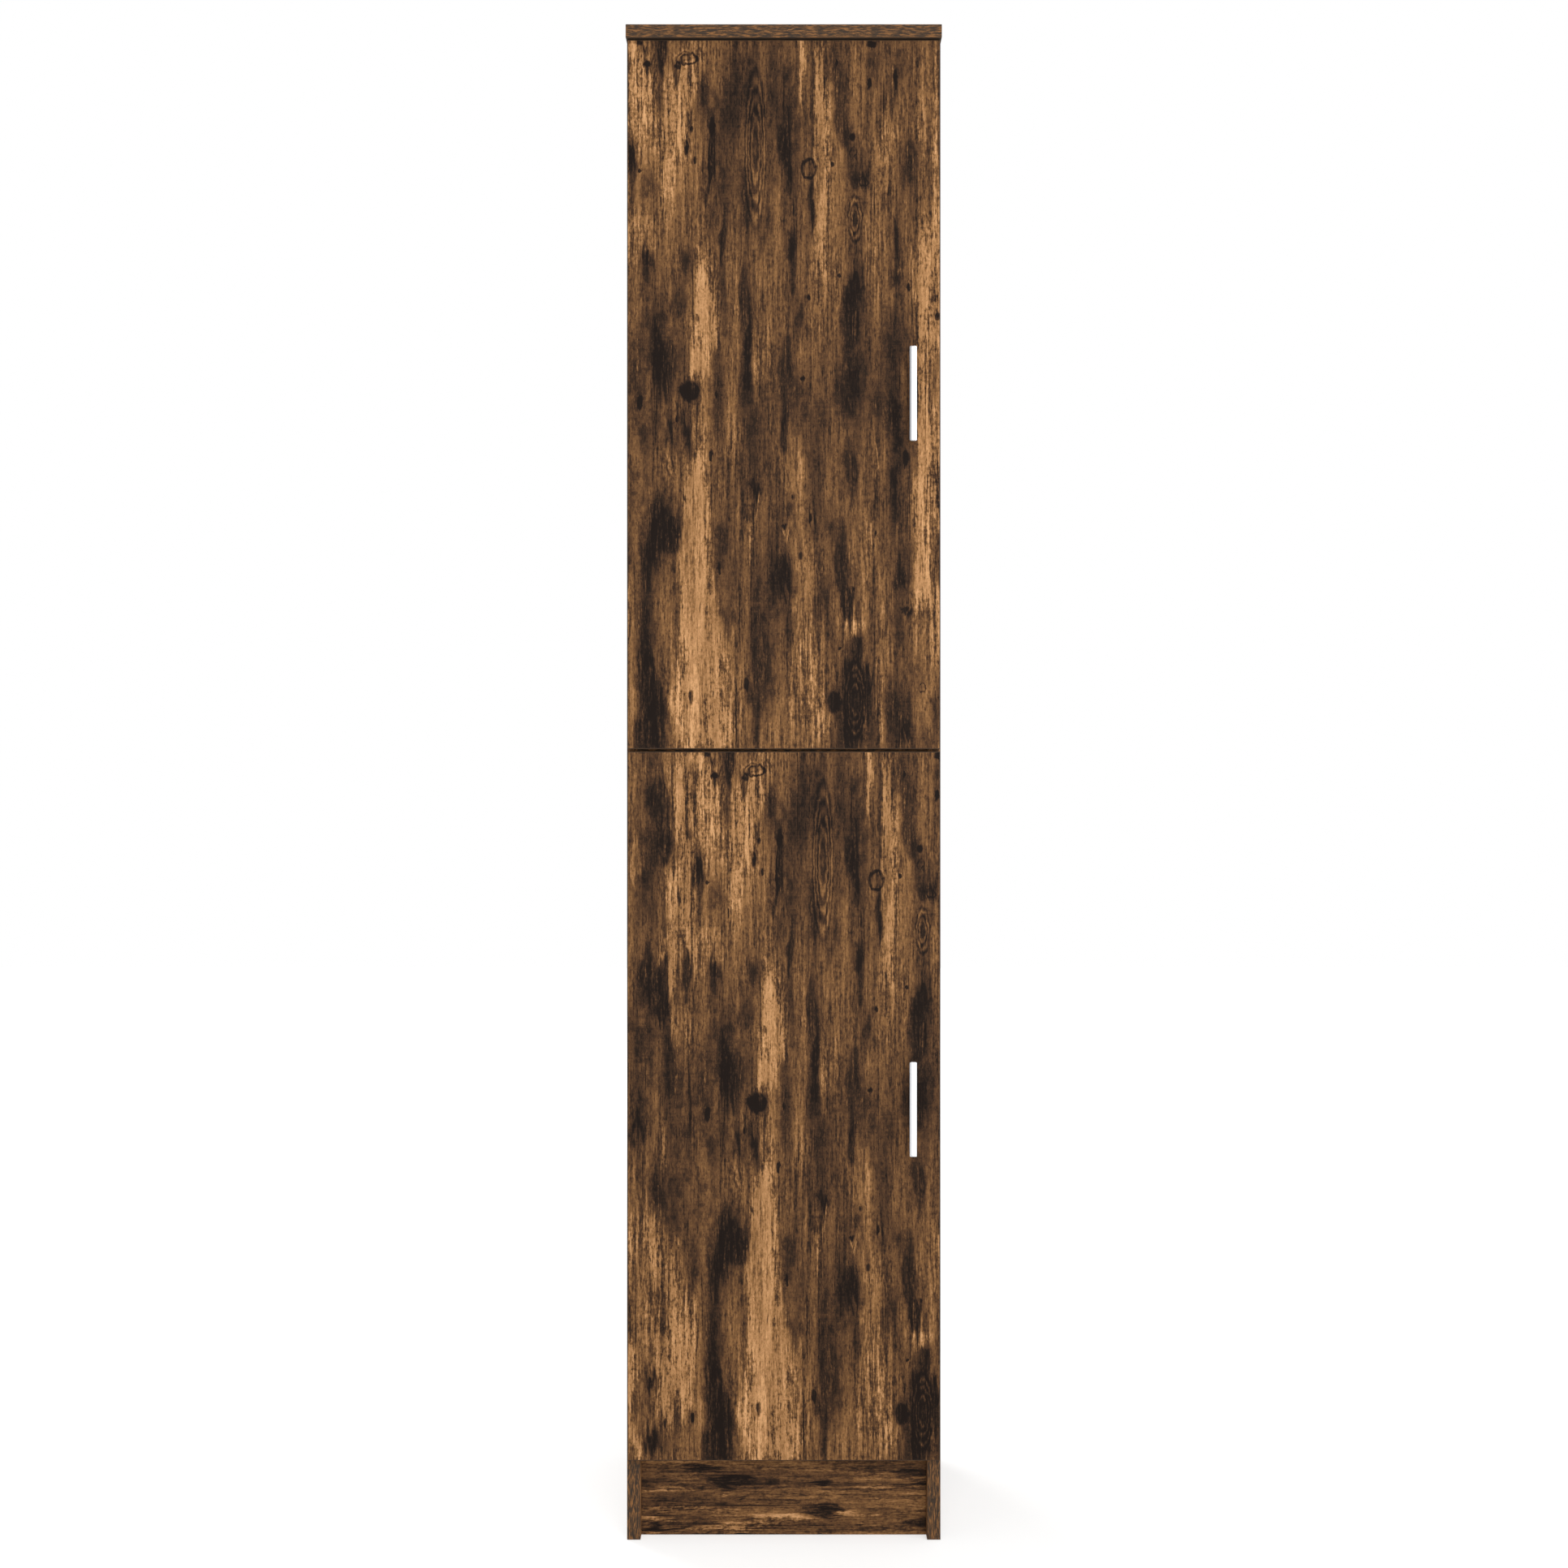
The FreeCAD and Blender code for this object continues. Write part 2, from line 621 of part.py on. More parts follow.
def inner_link(z):
    eye = link_eye(rear_pin, deep_pin)
    bend = elbow(rear_pin, deep_pin, INNER_BEND_OUT, INNER_BEND_FORWARD)
    z0, z1 = z - INNER_LINK_HALF, z + INNER_LINK_HALF
    body = strap([rear_pin, bend, eye], LINK_WIDTH / 2.0, z0, z1)
    body = join([body, disc(eye, CUP_EYE_RADIUS, z0, z1), disc(rear_pin, LINK_EYE_RADIUS, z0, z1)])
    return drill(body, [
        disc(rear_pin, ARM_PIN_RADIUS + RUNNING, z0, z1),
        disc(eye, LINK_PIN_RADIUS + OPEN_PIVOT_PLAY, z0, z1)])


def outer_link(z):
    eye = link_eye(front_pin, shallow_pin)
    bend = elbow(front_pin, shallow_pin, OUTER_BEND_OUT, OUTER_BEND_FORWARD)
    pieces = [disc(front_pin, LINK_EYE_RADIUS, z - outer_out, z + outer_out)]
    for z0, z1 in both_sides(z, outer_in, outer_out):
        pieces.append(strap([front_pin, bend, eye], LINK_WIDTH / 2.0, z0, z1))
        pieces.append(disc(eye, CUP_EYE_RADIUS, z0, z1))
    return drill(join(pieces), [
        disc(front_pin, ARM_PIN_RADIUS + RUNNING, z - outer_out, z + outer_out),
        disc(eye, LINK_PIN_RADIUS + OPEN_PIVOT_PLAY, z - outer_out, z + outer_out)])


def can(centre, radius, depth, chamfer):
    """A round block that runs forward into the door, chamfered round its far end."""
    block = rod(centre, Y * -1, radius, depth)
    far = [e for e in block.Edges if e.Closed and abs(e.CenterOfMass.y - (centre.y - depth)) < 1e-6]
    return block.makeChamfer(chamfer, far)


def hinge_cup(z):
    """The pressed cup: shell, flange with two screw tabs, and two lugs that hold the cup pins."""
    u, v = cup_centre
    centre = plan(u, v, z)
    hollow_radius = CUP_RADIUS - CUP_SHEET
    shell = can(centre, CUP_RADIUS, CUP_DEPTH, CUP_CHAMFER)
    hollow = can(centre, hollow_radius, CUP_DEPTH - CUP_SHEET, CUP_CHAMFER)
    lugs = []
    for z0, z1 in both_sides(z, arm_in, arm_out):
        floor = v + CUP_DEPTH - CUP_SHEET
        near, far = plan(pole[0] - LUG_REACH, floor, z0), plan(pole[0] + LUG_REACH, v + LUG_DEPTH, z1)
        lug = box(near.x, far.x, near.y, far.y, z0, z1)
        lugs.append(lug.common(rod(centre, Y * -1, CUP_RADIUS - CUP_SHEET / 2.0, CUP_DEPTH)))
    seats = [place + Y * FLANGE_SHEET for place in cup_screw_places(z)]
    sheet = [rod(centre + Y * FLANGE_SHEET, Y * -1, CUP_RADIUS + FLANGE_RIM, FLANGE_SHEET)]
    sheet += [rod(seat, Y * -1, FLANGE_TAB_RADIUS, FLANGE_SHEET) for seat in seats]
    low, high = seats
    sheet.append(box(low.x - FLANGE_TAB_RADIUS, low.x + FLANGE_TAB_RADIUS, low.y - FLANGE_SHEET, low.y,
                     low.z, high.z))
    mouth = rod(centre + Y * FLANGE_SHEET, Y * -1, hollow_radius, FLANGE_SHEET)
    cup = join([shell.cut(hollow), join(sheet).cut(mouth)] + lugs)
    bores = [rod(seat, Y * -1, WOOD_SCREW_RADIUS + FIT, FLANGE_SHEET) for seat in seats]
    for pin in (deep_pin, shallow_pin):
        for z0, z1 in both_sides(z, arm_in, arm_out):
            bores.append(disc(pin, LINK_PIN_RADIUS + PIN_SEAT, z0, z1))
    return drill(cup, bores)


def cup_screw_places(z):
    u = cup_centre[0] + CUP_SCREW_BACK
    return [plan(u, DOOR_BACK_GAP, z + d) for d in (-CUP_SCREW_SPACING / 2.0, CUP_SCREW_SPACING / 2.0)]


def cup_screws(name):
    return [wood_screw(place + Y * FLANGE_SHEET, Y * -1, FLANGE_SHEET)
            for z in hinge_heights(name) for place in cup_screw_places(z)]


def cup_pins(name):
    pins = []
    for z in hinge_heights(name):
        pins.append(disc(deep_pin, LINK_PIN_RADIUS, z - arm_out, z + arm_out))
        pins += [disc(shallow_pin, LINK_PIN_RADIUS, z0, z1) for z0, z1 in both_sides(z, outer_in, arm_out)]
    return pins


def arm_pins(name):
    return [disc(pin, ARM_PIN_RADIUS, z - arm_out, z + arm_out)
            for z in hinge_heights(name) for pin in (rear_pin, front_pin)]


web_top = BOARD + ARM_HEIGHT
web_under = web_top - LINK_SHEET
arm_screw_backs = (ARM_SCREW_FRONT, ARM_SCREW_REAR)


def hinge_arm(z):
    low = BOARD + PLATE_SHEET + ARM_FLOOR_GAP
    start = min(rear_pin[1], front_pin[1]) - ARM_EYE_RADIUS - ARM_THROAT
    pieces = [box(plan(web_under, 0, 0).x, plan(web_top, 0, 0).x, y_front - start, y_front + ARM_LENGTH,
                  z - arm_out, z + arm_out)]
    heel = (low + ARM_EYE_RADIUS, start)
    for z0, z1 in both_sides(z, arm_in, arm_out):
        cheek = box(plan(low, 0, 0).x, plan(web_top, 0, 0).x, y_front - start, y_front + ARM_LENGTH, z0, z1)
        ear = strap([heel, rear_pin, front_pin, (web_top - ARM_EYE_RADIUS, start)], ARM_EYE_RADIUS, z0, z1)
        pieces += [cheek, ear]
    bores = [disc(pin, ARM_PIN_RADIUS + PIN_SEAT, z - arm_out, z + arm_out) for pin in (rear_pin, front_pin)]
    for back in arm_screw_backs:
        bores.append(rod(plan(web_under, -back, z), X, ARM_SCREW_RADIUS + FIT, LINK_SHEET))
    return drill(join(pieces), bores)


def mounting_plate(z):
    wing = PLATE_SCREW_SPACING / 2.0 + PLATE_WING
    middle = y_front + PLATE_SCREW_BACK
    front = middle - PLATE_FRONT
    rear = middle + PLATE_REAR
    half = arm_in - LAYER_GAP
    x0 = plan(BOARD, 0, 0).x
    base = box(x0, x0 + PLATE_SHEET, front, rear, z - half, z + half)
    wings = box(x0, x0 + PLATE_SHEET, middle - PLATE_WING, middle + PLATE_WING, z - wing, z + wing)
    riser = box(x0, plan(web_under, 0, 0).x, front + PLATE_STEP, rear, z - half, z + half)
    bores = [rod(place, X, WOOD_SCREW_RADIUS + FIT, PLATE_SHEET) for place in plate_screw_places(z)]
    depth = ARM_SCREW_BITE + BORE_END_GAP
    for back in arm_screw_backs:
        bores.append(rod(plan(web_under - depth, -back, z), X, ARM_SCREW_RADIUS + FIT, depth))
    return drill(join([base, wings, riser]), bores)


def plate_screw_places(z):
    half = PLATE_SCREW_SPACING / 2.0
    return [plan(BOARD, -PLATE_SCREW_BACK, z + d) for d in (-half, half)]


def plate_screw_bores():
    depth = WOOD_SCREW_BITE + BORE_END_GAP
    return [rod(place - X * depth, X, WOOD_SCREW_RADIUS + FIT, depth)
            for name in door_bottoms for z in hinge_heights(name) for place in plate_screw_places(z)]


def plate_screws(name):
    return [wood_screw(place + X * PLATE_SHEET, X * -1, PLATE_SHEET)
            for z in hinge_heights(name) for place in plate_screw_places(z)]


def arm_screws(name):
    return [screw(plan(web_top, -back, z), X * -1, ARM_SCREW_HEAD_RADIUS, ARM_SCREW_HEAD_HEIGHT,
                  ARM_SCREW_RADIUS, LINK_SHEET + ARM_SCREW_BITE)
            for z in hinge_heights(name) for back in arm_screw_backs]


def build():
    """Every piece of the cupboard: node name to one solid or a list of solids."""
    parts = {
        "left_side_panel": side_panel(-1),
        "right_side_panel": side_panel(1),
        "top_panel": top_panel(),
        "bottom_panel": level_panel(PLINTH_HEIGHT, 0.0),
        "middle_panel": level_panel(z_middle, MIDDLE_SETBACK),
        "plinth_board": plinth_board(),
        "lower_back_panel": back_panel(PLINTH_HEIGHT, z_seam),
        "upper_back_panel": back_panel(z_seam, z_top),
        "shelf_pins": shelf_pins(),
        "cam_locks": cam_locks(),
        "cam_bolts": cam_bolts(),
        "wood_dowels": wood_dowels(),
        "back_nails": back_nails(),
        "wall_brackets": wall_brackets(),
        "bracket_screws": bracket_screws(),
    }
    for name, levels in shelf_levels().items():
        for place, z in zip(("low", "high"), levels):
            parts[name + "_shelf_" + place] = shelf(z)
    for name in door_bottoms:
        parts[name + "_door"] = door(name)
        parts[name + "_handle"] = handle(name)
        parts[name + "_handle_screws"] = handle_screws(name)
        parts[name + "_cup_screws"] = cup_screws(name)
        parts[name + "_cup_pins"] = cup_pins(name)
        parts[name + "_arm_pins"] = arm_pins(name)
        parts[name + "_plate_screws"] = plate_screws(name)
        parts[name + "_arm_screws"] = arm_screws(name)
        for place, z in zip(("low", "high"), hinge_heights(name)):
            where = name + "_" + place
            parts[where + "_hinge_cup"] = hinge_cup(z)
            parts[where + "_outer_link"] = outer_link(z)
            parts[where + "_inner_link"] = inner_link(z)
            parts[where + "_hinge_arm"] = hinge_arm(z)
            parts[where + "_mounting_plate"] = mounting_plate(z)
    return parts


os.makedirs("parts", exist_ok=True)
for node, shape in build().items():
    if isinstance(shape, list):
        shape = Part.makeCompound(shape)
    shape.exportStep("parts/" + node + ".step")
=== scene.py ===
"""Finishes, lights and camera for a tall two-door cupboard in smoked oak print."""

import math

import bpy
from bpy.props import FloatProperty, FloatVectorProperty, PointerProperty
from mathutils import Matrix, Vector


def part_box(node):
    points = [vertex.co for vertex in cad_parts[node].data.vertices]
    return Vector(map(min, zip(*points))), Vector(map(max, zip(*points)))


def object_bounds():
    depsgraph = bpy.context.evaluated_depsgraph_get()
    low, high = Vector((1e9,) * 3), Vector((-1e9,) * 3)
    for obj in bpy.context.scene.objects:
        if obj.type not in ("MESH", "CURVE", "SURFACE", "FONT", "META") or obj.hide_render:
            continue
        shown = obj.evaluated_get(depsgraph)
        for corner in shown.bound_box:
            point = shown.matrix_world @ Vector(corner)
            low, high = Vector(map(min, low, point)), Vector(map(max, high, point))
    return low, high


bl_info = {
    "name": "Smoked oak cupboard",
    "version": (1, 0, 0),
    "blender": (4, 5, 0),
    "location": "3D View > Sidebar > Cupboard",
    "description": "Board prints, metal finishes and a white studio for a tall two-door cupboard",
    "category": "Object",
}

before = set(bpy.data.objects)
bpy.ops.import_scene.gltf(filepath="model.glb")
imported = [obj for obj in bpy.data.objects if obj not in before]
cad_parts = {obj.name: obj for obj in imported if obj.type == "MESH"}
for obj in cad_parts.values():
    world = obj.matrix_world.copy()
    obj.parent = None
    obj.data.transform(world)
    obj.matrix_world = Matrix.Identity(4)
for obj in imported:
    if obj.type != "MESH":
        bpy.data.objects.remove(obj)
CAD_LOW, CAD_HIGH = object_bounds()
MM = 1000.0

# The main patches of the print on the doors, charred and pale: millimetres across from the upper door's left
# edge and down from its top edge, then half width and half height, then how strong the patch is.
CHAR_SPOTS = (
    # Top third
    (41, 12, 5, 24, 1.0), (40, 60, 4, 26, 0.5), (25, 28, 5, 6, 0.8), (20, 5, 6, 5, 0.8),
    (58, 32, 5, 8, 0.8), (92, 66, 9, 36, 0.55), (128, 62, 15, 38, 0.36), (98, 140, 3, 36, 1.1),
    (74, 92, 5, 9, 0.8), (4, 146, 7, 14, 1.0), (190, 132, 5, 32, 0.75), (182, 70, 12, 60, 0.35),
    (250, 20, 9, 26, 0.6), (252, 72, 9, 36, 0.65), (260, 112, 8, 20, 0.6), (314, 62, 9, 14, 0.5),
    (272, 158, 15, 24, 0.65), (281, 168, 6, 9, 0.5), (334, 150, 10, 28, 0.6), (218, 192, 4, 26, 0.9),
    (114, 196, 7, 26, 0.5), (140, 200, 7, 34, 0.55), (320, 30, 14, 24, 0.45), (150, 60, 9, 40, 0.3),
    (150, 110, 44, 100, 0.22), (110, 120, 10, 40, 0.4), (20, 180, 14, 20, 0.35), (270, 205, 14, 12, 0.45),
    (200, 90, 6, 60, 0.3), (162, 225, 8, 26, 0.42), (287, 28, 9, 20, 0.4),
    # Middle third
    (24, 272, 4, 30, 0.75), (70, 256, 6, 15, 0.75), (64, 308, 10, 22, 0.5), (38, 352, 17, 36, 0.58),
    (42, 392, 15, 30, 0.6), (10, 400, 10, 40, 0.55), (113, 238, 5, 18, 0.9), (116, 292, 6, 42, 0.42),
    (141, 350, 5, 80, 1.0), (195, 252, 5, 20, 1.0), (192, 290, 7, 12, 0.45), (205, 330, 4, 26, 0.7),
    (188, 402, 9, 46, 0.7), (270, 236, 5, 12, 0.7), (268, 300, 9, 30, 0.7), (266, 348, 13, 50, 0.9),
    (260, 420, 12, 30, 0.75), (319, 240, 4, 20, 0.8), (318, 276, 6, 12, 0.6), (314, 350, 13, 30, 0.55),
    (306, 410, 22, 50, 0.45), (107, 416, 9, 42, 0.6), (52, 460, 5, 18, 0.7), (73, 462, 5, 14, 0.9),
    (187, 448, 5, 12, 0.8), (186, 476, 5, 14, 0.6), (320, 474, 16, 40, 0.5), (150, 470, 6, 40, 0.4),
    (264, 509, 8, 42, 0.9), (315, 538, 7, 30, 0.65), (152, 531, 9, 10, 0.85), (191, 552, 8, 14, 0.6),
    (230, 500, 18, 60, 0.25), (20, 470, 14, 40, 0.45), (14, 540, 12, 30, 0.4), (205, 450, 8, 40, 0.4),
    (225, 428, 20, 44, 0.22),
    # Bottom third
    (46, 572, 14, 22, 1.0), (38, 594, 22, 20, 1.0), (24, 622, 11, 24, 0.8), (110, 606, 10, 30, 0.6),
    (170, 640, 19, 36, 0.65), (190, 644, 9, 15, 0.6), (255, 622, 6, 36, 0.95), (262, 652, 8, 13, 0.9),
    (326, 626, 11, 26, 0.6), (20, 702, 10, 54, 0.75), (20, 738, 8, 24, 0.8), (30, 806, 15, 38, 1.2),
    (12, 822, 6, 20, 0.8), (26, 756, 12, 18, 0.5), (111, 684, 9, 36, 0.65), (160, 722, 13, 40, 0.85),
    (155, 800, 6, 34, 0.8), (195, 702, 9, 13, 0.5), (260, 668, 5, 14, 0.8), (272, 718, 6, 16, 0.8),
    (270, 744, 12, 16, 0.9), (273, 778, 16, 28, 1.0), (268, 822, 15, 28, 1.0), (286, 756, 7, 9, 0.8),
    (328, 794, 10, 26, 0.6), (330, 830, 11, 14, 0.8), (313, 800, 7, 22, 0.5), (366, 792, 5, 16, 0.7),
    (236, 660, 6, 24, 0.5), (322, 690, 8, 30, 0.4), (144, 782, 4, 14, 0.6), (310, 764, 7, 22, 0.4),
    (341, 745, 8, 24, 0.4), (358, 822, 9, 18, 0.5), (2, 604, 6, 20, 0.45), (170, 775, 8, 24, 0.45),
    (200, 584, 7, 16, 0.4), (243, 580, 9, 26, 0.42),
    # Beyond the left edge of the upper door, seen on the lower one
    (-44, 56, 12, 24, 0.8), (-36, 86, 8, 26, 0.7), (-32, 106, 8, 14, 1.0), (-52, 124, 18, 28, 0.55),
    (-8, 90, 4, 10, 0.7), (-60, 180, 18, 40, 0.4), (-50, 276, 15, 30, 1.1), (-36, 310, 9, 11, 0.9),
    (-10, 272, 5, 18, 0.8), (-60, 344, 20, 40, 0.55), (-30, 362, 7, 30, 0.55), (-45, 520, 10, 30, 0.6),
    (-66, 450, 11, 16, 0.7), (-20, 470, 14, 60, 0.4), (-20, 560, 16, 40, 0.35), (-53, 744, 6, 11, 0.8),
    (-50, 812, 11, 13, 0.9), (-62, 800, 9, 10, 0.4), (-3, 788, 4, 8, 0.7), (-20, 400, 12, 40, 0.4),
    (-60, 416, 12, 24, 0.5), (-45, 2, 8, 12, 0.55),
)
PALE_SPOTS = (
    # Top third
    (16, 66, 13, 52, 0.6), (58, 96, 18, 60, 0.6), (40, 85, 38, 90, 0.2), (45, 160, 6, 50, 0.3),
    (72, 56, 10, 24, 0.5), (206, 32, 4, 40, 0.9), (230, 110, 9, 90, 0.9), (246, 160, 9, 50, 0.2),
    (304, 134, 16, 40, 0.5), (346, 112, 8, 60, 0.5), (366, 110, 5, 110, 0.5), (228, 200, 8, 50, 0.7),
    (24, 150, 14, 60, 0.1), (84, 2, 10, 12, 0.5), (2, 3, 8, 14, 0.7), (86, 31, 7, 16, 0.5),
    # Middle third
    (16, 236, 18, 26, 0.45), (88, 308, 11, 62, 0.9), (101, 336, 7, 38, 0.75), (84, 388, 10, 22, 0.8),
    (230, 280, 9, 80, 0.28), (246, 292, 4, 40, 0.4), (351, 266, 10, 60, 0.85), (349, 384, 8, 70, 0.8),
    (320, 261, 3, 7, 1.0), (158, 372, 11, 30, 0.35), (126, 300, 10, 60, 0.3), (290, 246, 10, 30, 0.3),
    (86, 456, 8, 30, 0.35), (84, 524, 14, 40, 0.7), (50, 506, 7, 14, 0.5), (203, 512, 5, 44, 0.35),
    (126, 470, 8, 34, 0.3), (351, 486, 9, 64, 0.85), (295, 499, 3, 8, 1.2), (154, 553, 3, 6, 0.6),
    (367, 290, 6, 56, 0.8), (367, 345, 5, 30, 0.4), (367, 505, 6, 56, 0.7), (367, 566, 5, 26, 0.4),
    # Bottom third
    (82, 602, 15, 60, 1.1), (347, 588, 10, 50, 0.7), (188, 571, 4, 3, 0.8), (193, 595, 2, 4, 0.8),
    (145, 580, 4, 30, 0.4), (220, 622, 12, 30, 0.35), (290, 606, 10, 44, 0.35), (86, 694, 20, 54, 0.9),
    (74, 792, 15, 50, 1.0), (104, 758, 24, 54, 0.6), (50, 788, 4, 20, 0.8), (112, 818, 18, 24, 0.6),
    (214, 764, 20, 70, 0.5), (352, 650, 12, 36, 0.7), (354, 716, 8, 44, 0.2), (268, 690, 13, 11, 0.6),
    (301, 800, 4, 40, 0.6), (304, 724, 8, 40, 0.4), (335, 662, 2, 5, 0.8), (232, 815, 10, 24, 0.4),
    (367, 700, 6, 36, 0.7), (72, 617, 9, 30, 0.6), (67, 580, 6, 22, 0.4),
    # Beyond the left edge of the upper door, seen on the lower one
    (-15, 50, 12, 60, 0.6), (-10, 140, 12, 50, 0.4), (-28, 172, 4, 34, 0.7), (-68, 132, 4, 22, 0.8),
    (-25, 330, 4, 54, 0.6), (-40, 234, 5, 5, 0.7), (-36, 472, 4, 22, 0.7), (-48, 580, 18, 50, 0.7),
    (-24, 604, 4, 60, 0.5), (-50, 690, 22, 54, 0.4), (-14, 700, 16, 60, 0.7), (-36, 775, 4, 7, 1.0),
    (-70, 815, 6, 20, 0.7), (-78, 742, 6, 36, 1.2), (-13, 190, 9, 50, 0.7), (-38, 746, 8, 28, 0.6),
    (-31, 785, 6, 20, 0.5), (-29, 260, 8, 44, 0.75), (-3, 240, 7, 30, 0.5), (-70, 124, 6, 20, 0.75),
    (-9, 750, 10, 30, 0.4), (-43, 772, 6, 16, 0.45), (-78, 590, 6, 40, 0.6), (-9, 332, 7, 26, 0.45),
)
# Small black knots, bark pockets and cracks with a firm edge
KNOTS = (
    (101, 102, 3, 9, 1.0), (70, 128, 3, 9, 1.0), (80, 142, 1.6, 5, 1.0), (76, 105, 2, 5, 0.8),
    (290, 5, 6, 4.5, 1.0), (287, 52, 2.8, 6.5, 1.0), (318, 47, 2.4, 11, 1.0), (248, 27, 1.8, 3.5, 0.9),
    (267, 115, 4, 6, 0.8), (243, 148, 2.4, 2.4, 1.0), (15, 155, 1.8, 2, 0.9), (40, 192, 1.1, 6, 0.9),
    (97, 142, 1.4, 26, 0.9), (24, 256, 1.8, 9, 0.9), (83, 330, 2.4, 5, 0.8), (215, 305, 1.9, 3.8, 0.9),
    (207, 402, 3, 3.2, 0.9), (251, 279, 2.5, 2.8, 0.9), (333, 293, 2.4, 5, 0.9), (368, 328, 3.5, 5.5, 1.0),
    (74, 416, 12, 11, 1.1), (15, 430, 5, 12, 0.7), (106, 420, 1.8, 5, 0.8), (59, 450, 1.8, 4, 0.9),
    (99, 492, 1.9, 6.5, 1.0), (217, 566, 1.9, 5, 1.0), (330, 495, 3.6, 11, 0.9), (197, 541, 3, 6, 0.6),
    (185, 576, 4, 4, 0.7), (152, 531, 7, 8, 0.45), (205, 610, 3, 8, 0.7), (109, 626, 2.4, 8, 0.8),
    (75.5, 779, 2.2, 8, 1.1), (133, 690, 0.9, 46, 0.7), (129, 796, 1.1, 46, 0.8), (147, 690, 1.0, 40, 0.6),
    (141, 763, 3.4, 9, 0.9), (245, 784, 8.5, 13, 0.9), (252, 722, 1.3, 1.8, 1.0), (333, 676, 9, 6, 0.7),
    (333, 688, 4, 5, 0.4), (86, 672, 1.0, 10, 0.7), (294, 585, 1.2, 4, 0.8), (304, 730, 0.9, 30, 0.5),
    (312, 532, 1.0, 28, 0.6), (268, 650, 2.4, 4, 0.7), (364, 60, 1.0, 30, 0.5), (368, 110, 0.9, 40, 0.5),
    (24, 29, 5, 3.4, 0.9), (60, 30, 3.6, 5, 0.9), (13, 3, 5, 4, 0.9), (-53, 744, 2.6, 5, 0.7),
    (-35, 796, 2, 6, 0.8), (-3, 788, 2.4, 6, 0.8), (-27, 170, 0.9, 18, 0.6),
)
# Knots that show as a dark ring round a paler eye: half width and half height of the ring
RING_KNOTS = (
    (215, 153, 8, 11, 0.9), (73, 23, 10, 6, 0.95), (350, 767, 4.2, 5.2, 0.6), (268, 133, 4, 6, 0.5),
    (333, 290, 4.5, 6, 0.4), (30, 24, 9, 14, 0.35), (280, 168, 5, 6, 0.5), (88, 297, 3.5, 3, 0.35),
)
# Flame grain, nested spindles of growth rings: half width, half height, and how many rings
FLAMES = (
    (152, 130, 17, 130, 4.0), (270, 782, 17, 62, 4.0), (270, 212, 12, 40, 3.0), (70, 22, 20, 13, 2.0),
)
# The print on the plinth: millimetres across from the left side board and down from the bottom board
PLINTH_CHAR = (
    (73, 19, 18, 2.2, 1.26), (10, 37, 13, 5, 0.68), (28, 32, 20, 3, 0.36), (98, 39, 15, 7, 0.72),
    (115, 35, 38, 3, 0.54), (152, 36, 40, 2.4, 0.41), (96, 46, 10, 4, 0.45), (212, 37, 11, 3.4, 0.99),
    (127, 56, 5, 2.4, 0.9), (216, 72, 11, 5.6, 1.26), (218, 76, 20, 9, 0.36), (14, 90, 8, 4.6, 1.08),
    (40, 93, 22, 1.4, 0.63), (75, 86, 16, 4, 0.54), (75, 79, 12, 3, 0.45), (327, 26, 12, 3.2, 0.99),
    (328, 38, 12, 2.4, 0.81), (336, 33, 9, 9, 0.45), (336, 84, 14, 6, 0.77), (322, 86, 30, 2.4, 0.36),
    (181, 88, 5, 1.8, 0.72), (190, 70, 30, 8, 0.27), (270, 50, 16, 8, 0.27), (50, 54, 40, 4, 0.36),
    (262, 66, 30, 4, 0.23), (185, 50, 9, 1.5, 0.45), (240, 38, 34, 3, 0.32), (160, 28, 60, 3, 0.23),
)
PLINTH_PALE = (
    (30, 46, 18, 4, 0.6), (60, 27, 20, 3, 0.4), (45, 15, 30, 3, 0.32), (40, 68, 38, 3, 0.64),
    (12, 82, 14, 3, 0.72), (5, 96, 8, 3, 0.8), (60, 73, 30, 2, 0.4), (85, 97, 38, 3, 0.48),
    (96, 51, 5, 2, 0.64), (165, 79, 30, 4, 0.72), (130, 88, 30, 4, 0.64), (190, 84, 30, 3, 0.4),
    (245, 72, 14, 3, 0.72), (275, 73, 14, 1.6, 0.56), (285, 43, 20, 3, 0.56), (312, 46, 14, 1.6, 0.48),
    (250, 22, 34, 4, 0.24), (300, 92, 30, 4, 0.32), (150, 18, 40, 4, 0.24), (110, 92, 20, 2, 0.4),
)
PLINTH_KNOTS = (
    (128, 65, 60, 0.8, 0.75), (27, 77.5, 25, 0.6, 0.8), (125, 95.5, 30, 0.7, 0.7), (29, 71, 3, 0.9, 0.8),
    (21, 74.5, 3, 0.8, 0.7), (119, 98.5, 8, 0.8, 0.8), (215, 92, 50, 0.6, 0.5), (73, 19, 12, 1.2, 0.6),
)
# How far to the left the lower door is cut from the same sheet of print, in millimetres
PRINT_SHIFT = (-80.0, 0.0, 0.0)
# How edges fray: width and length of the noise, then its reach across and along the grain, in millimetres
PATCH_FRAY = (14.0, 80.0, 22.0, 60.0)
FIBRE_FRAY = (3.2, 60.0, 7.0, 70.0)
KNOT_FRAY = (4.0, 12.0, 5.0, 9.0)
BAND_FRAY = (9.0, 30.0, 7.0, 8.0)
# Blender's wave texture runs this many radians for each unit of its vector.
WAVE_RADIANS = 20.0


def linear(code):
    """The linear colour of an sRGB hex code, opaque."""
    parts = [int(code[i:i + 2], 16) / 255.0 for i in (1, 3, 5)]
    return tuple(c / 12.92 if c <= 0.04045 else ((c + 0.055) / 1.055) ** 2.4 for c in parts) + (1.0,)


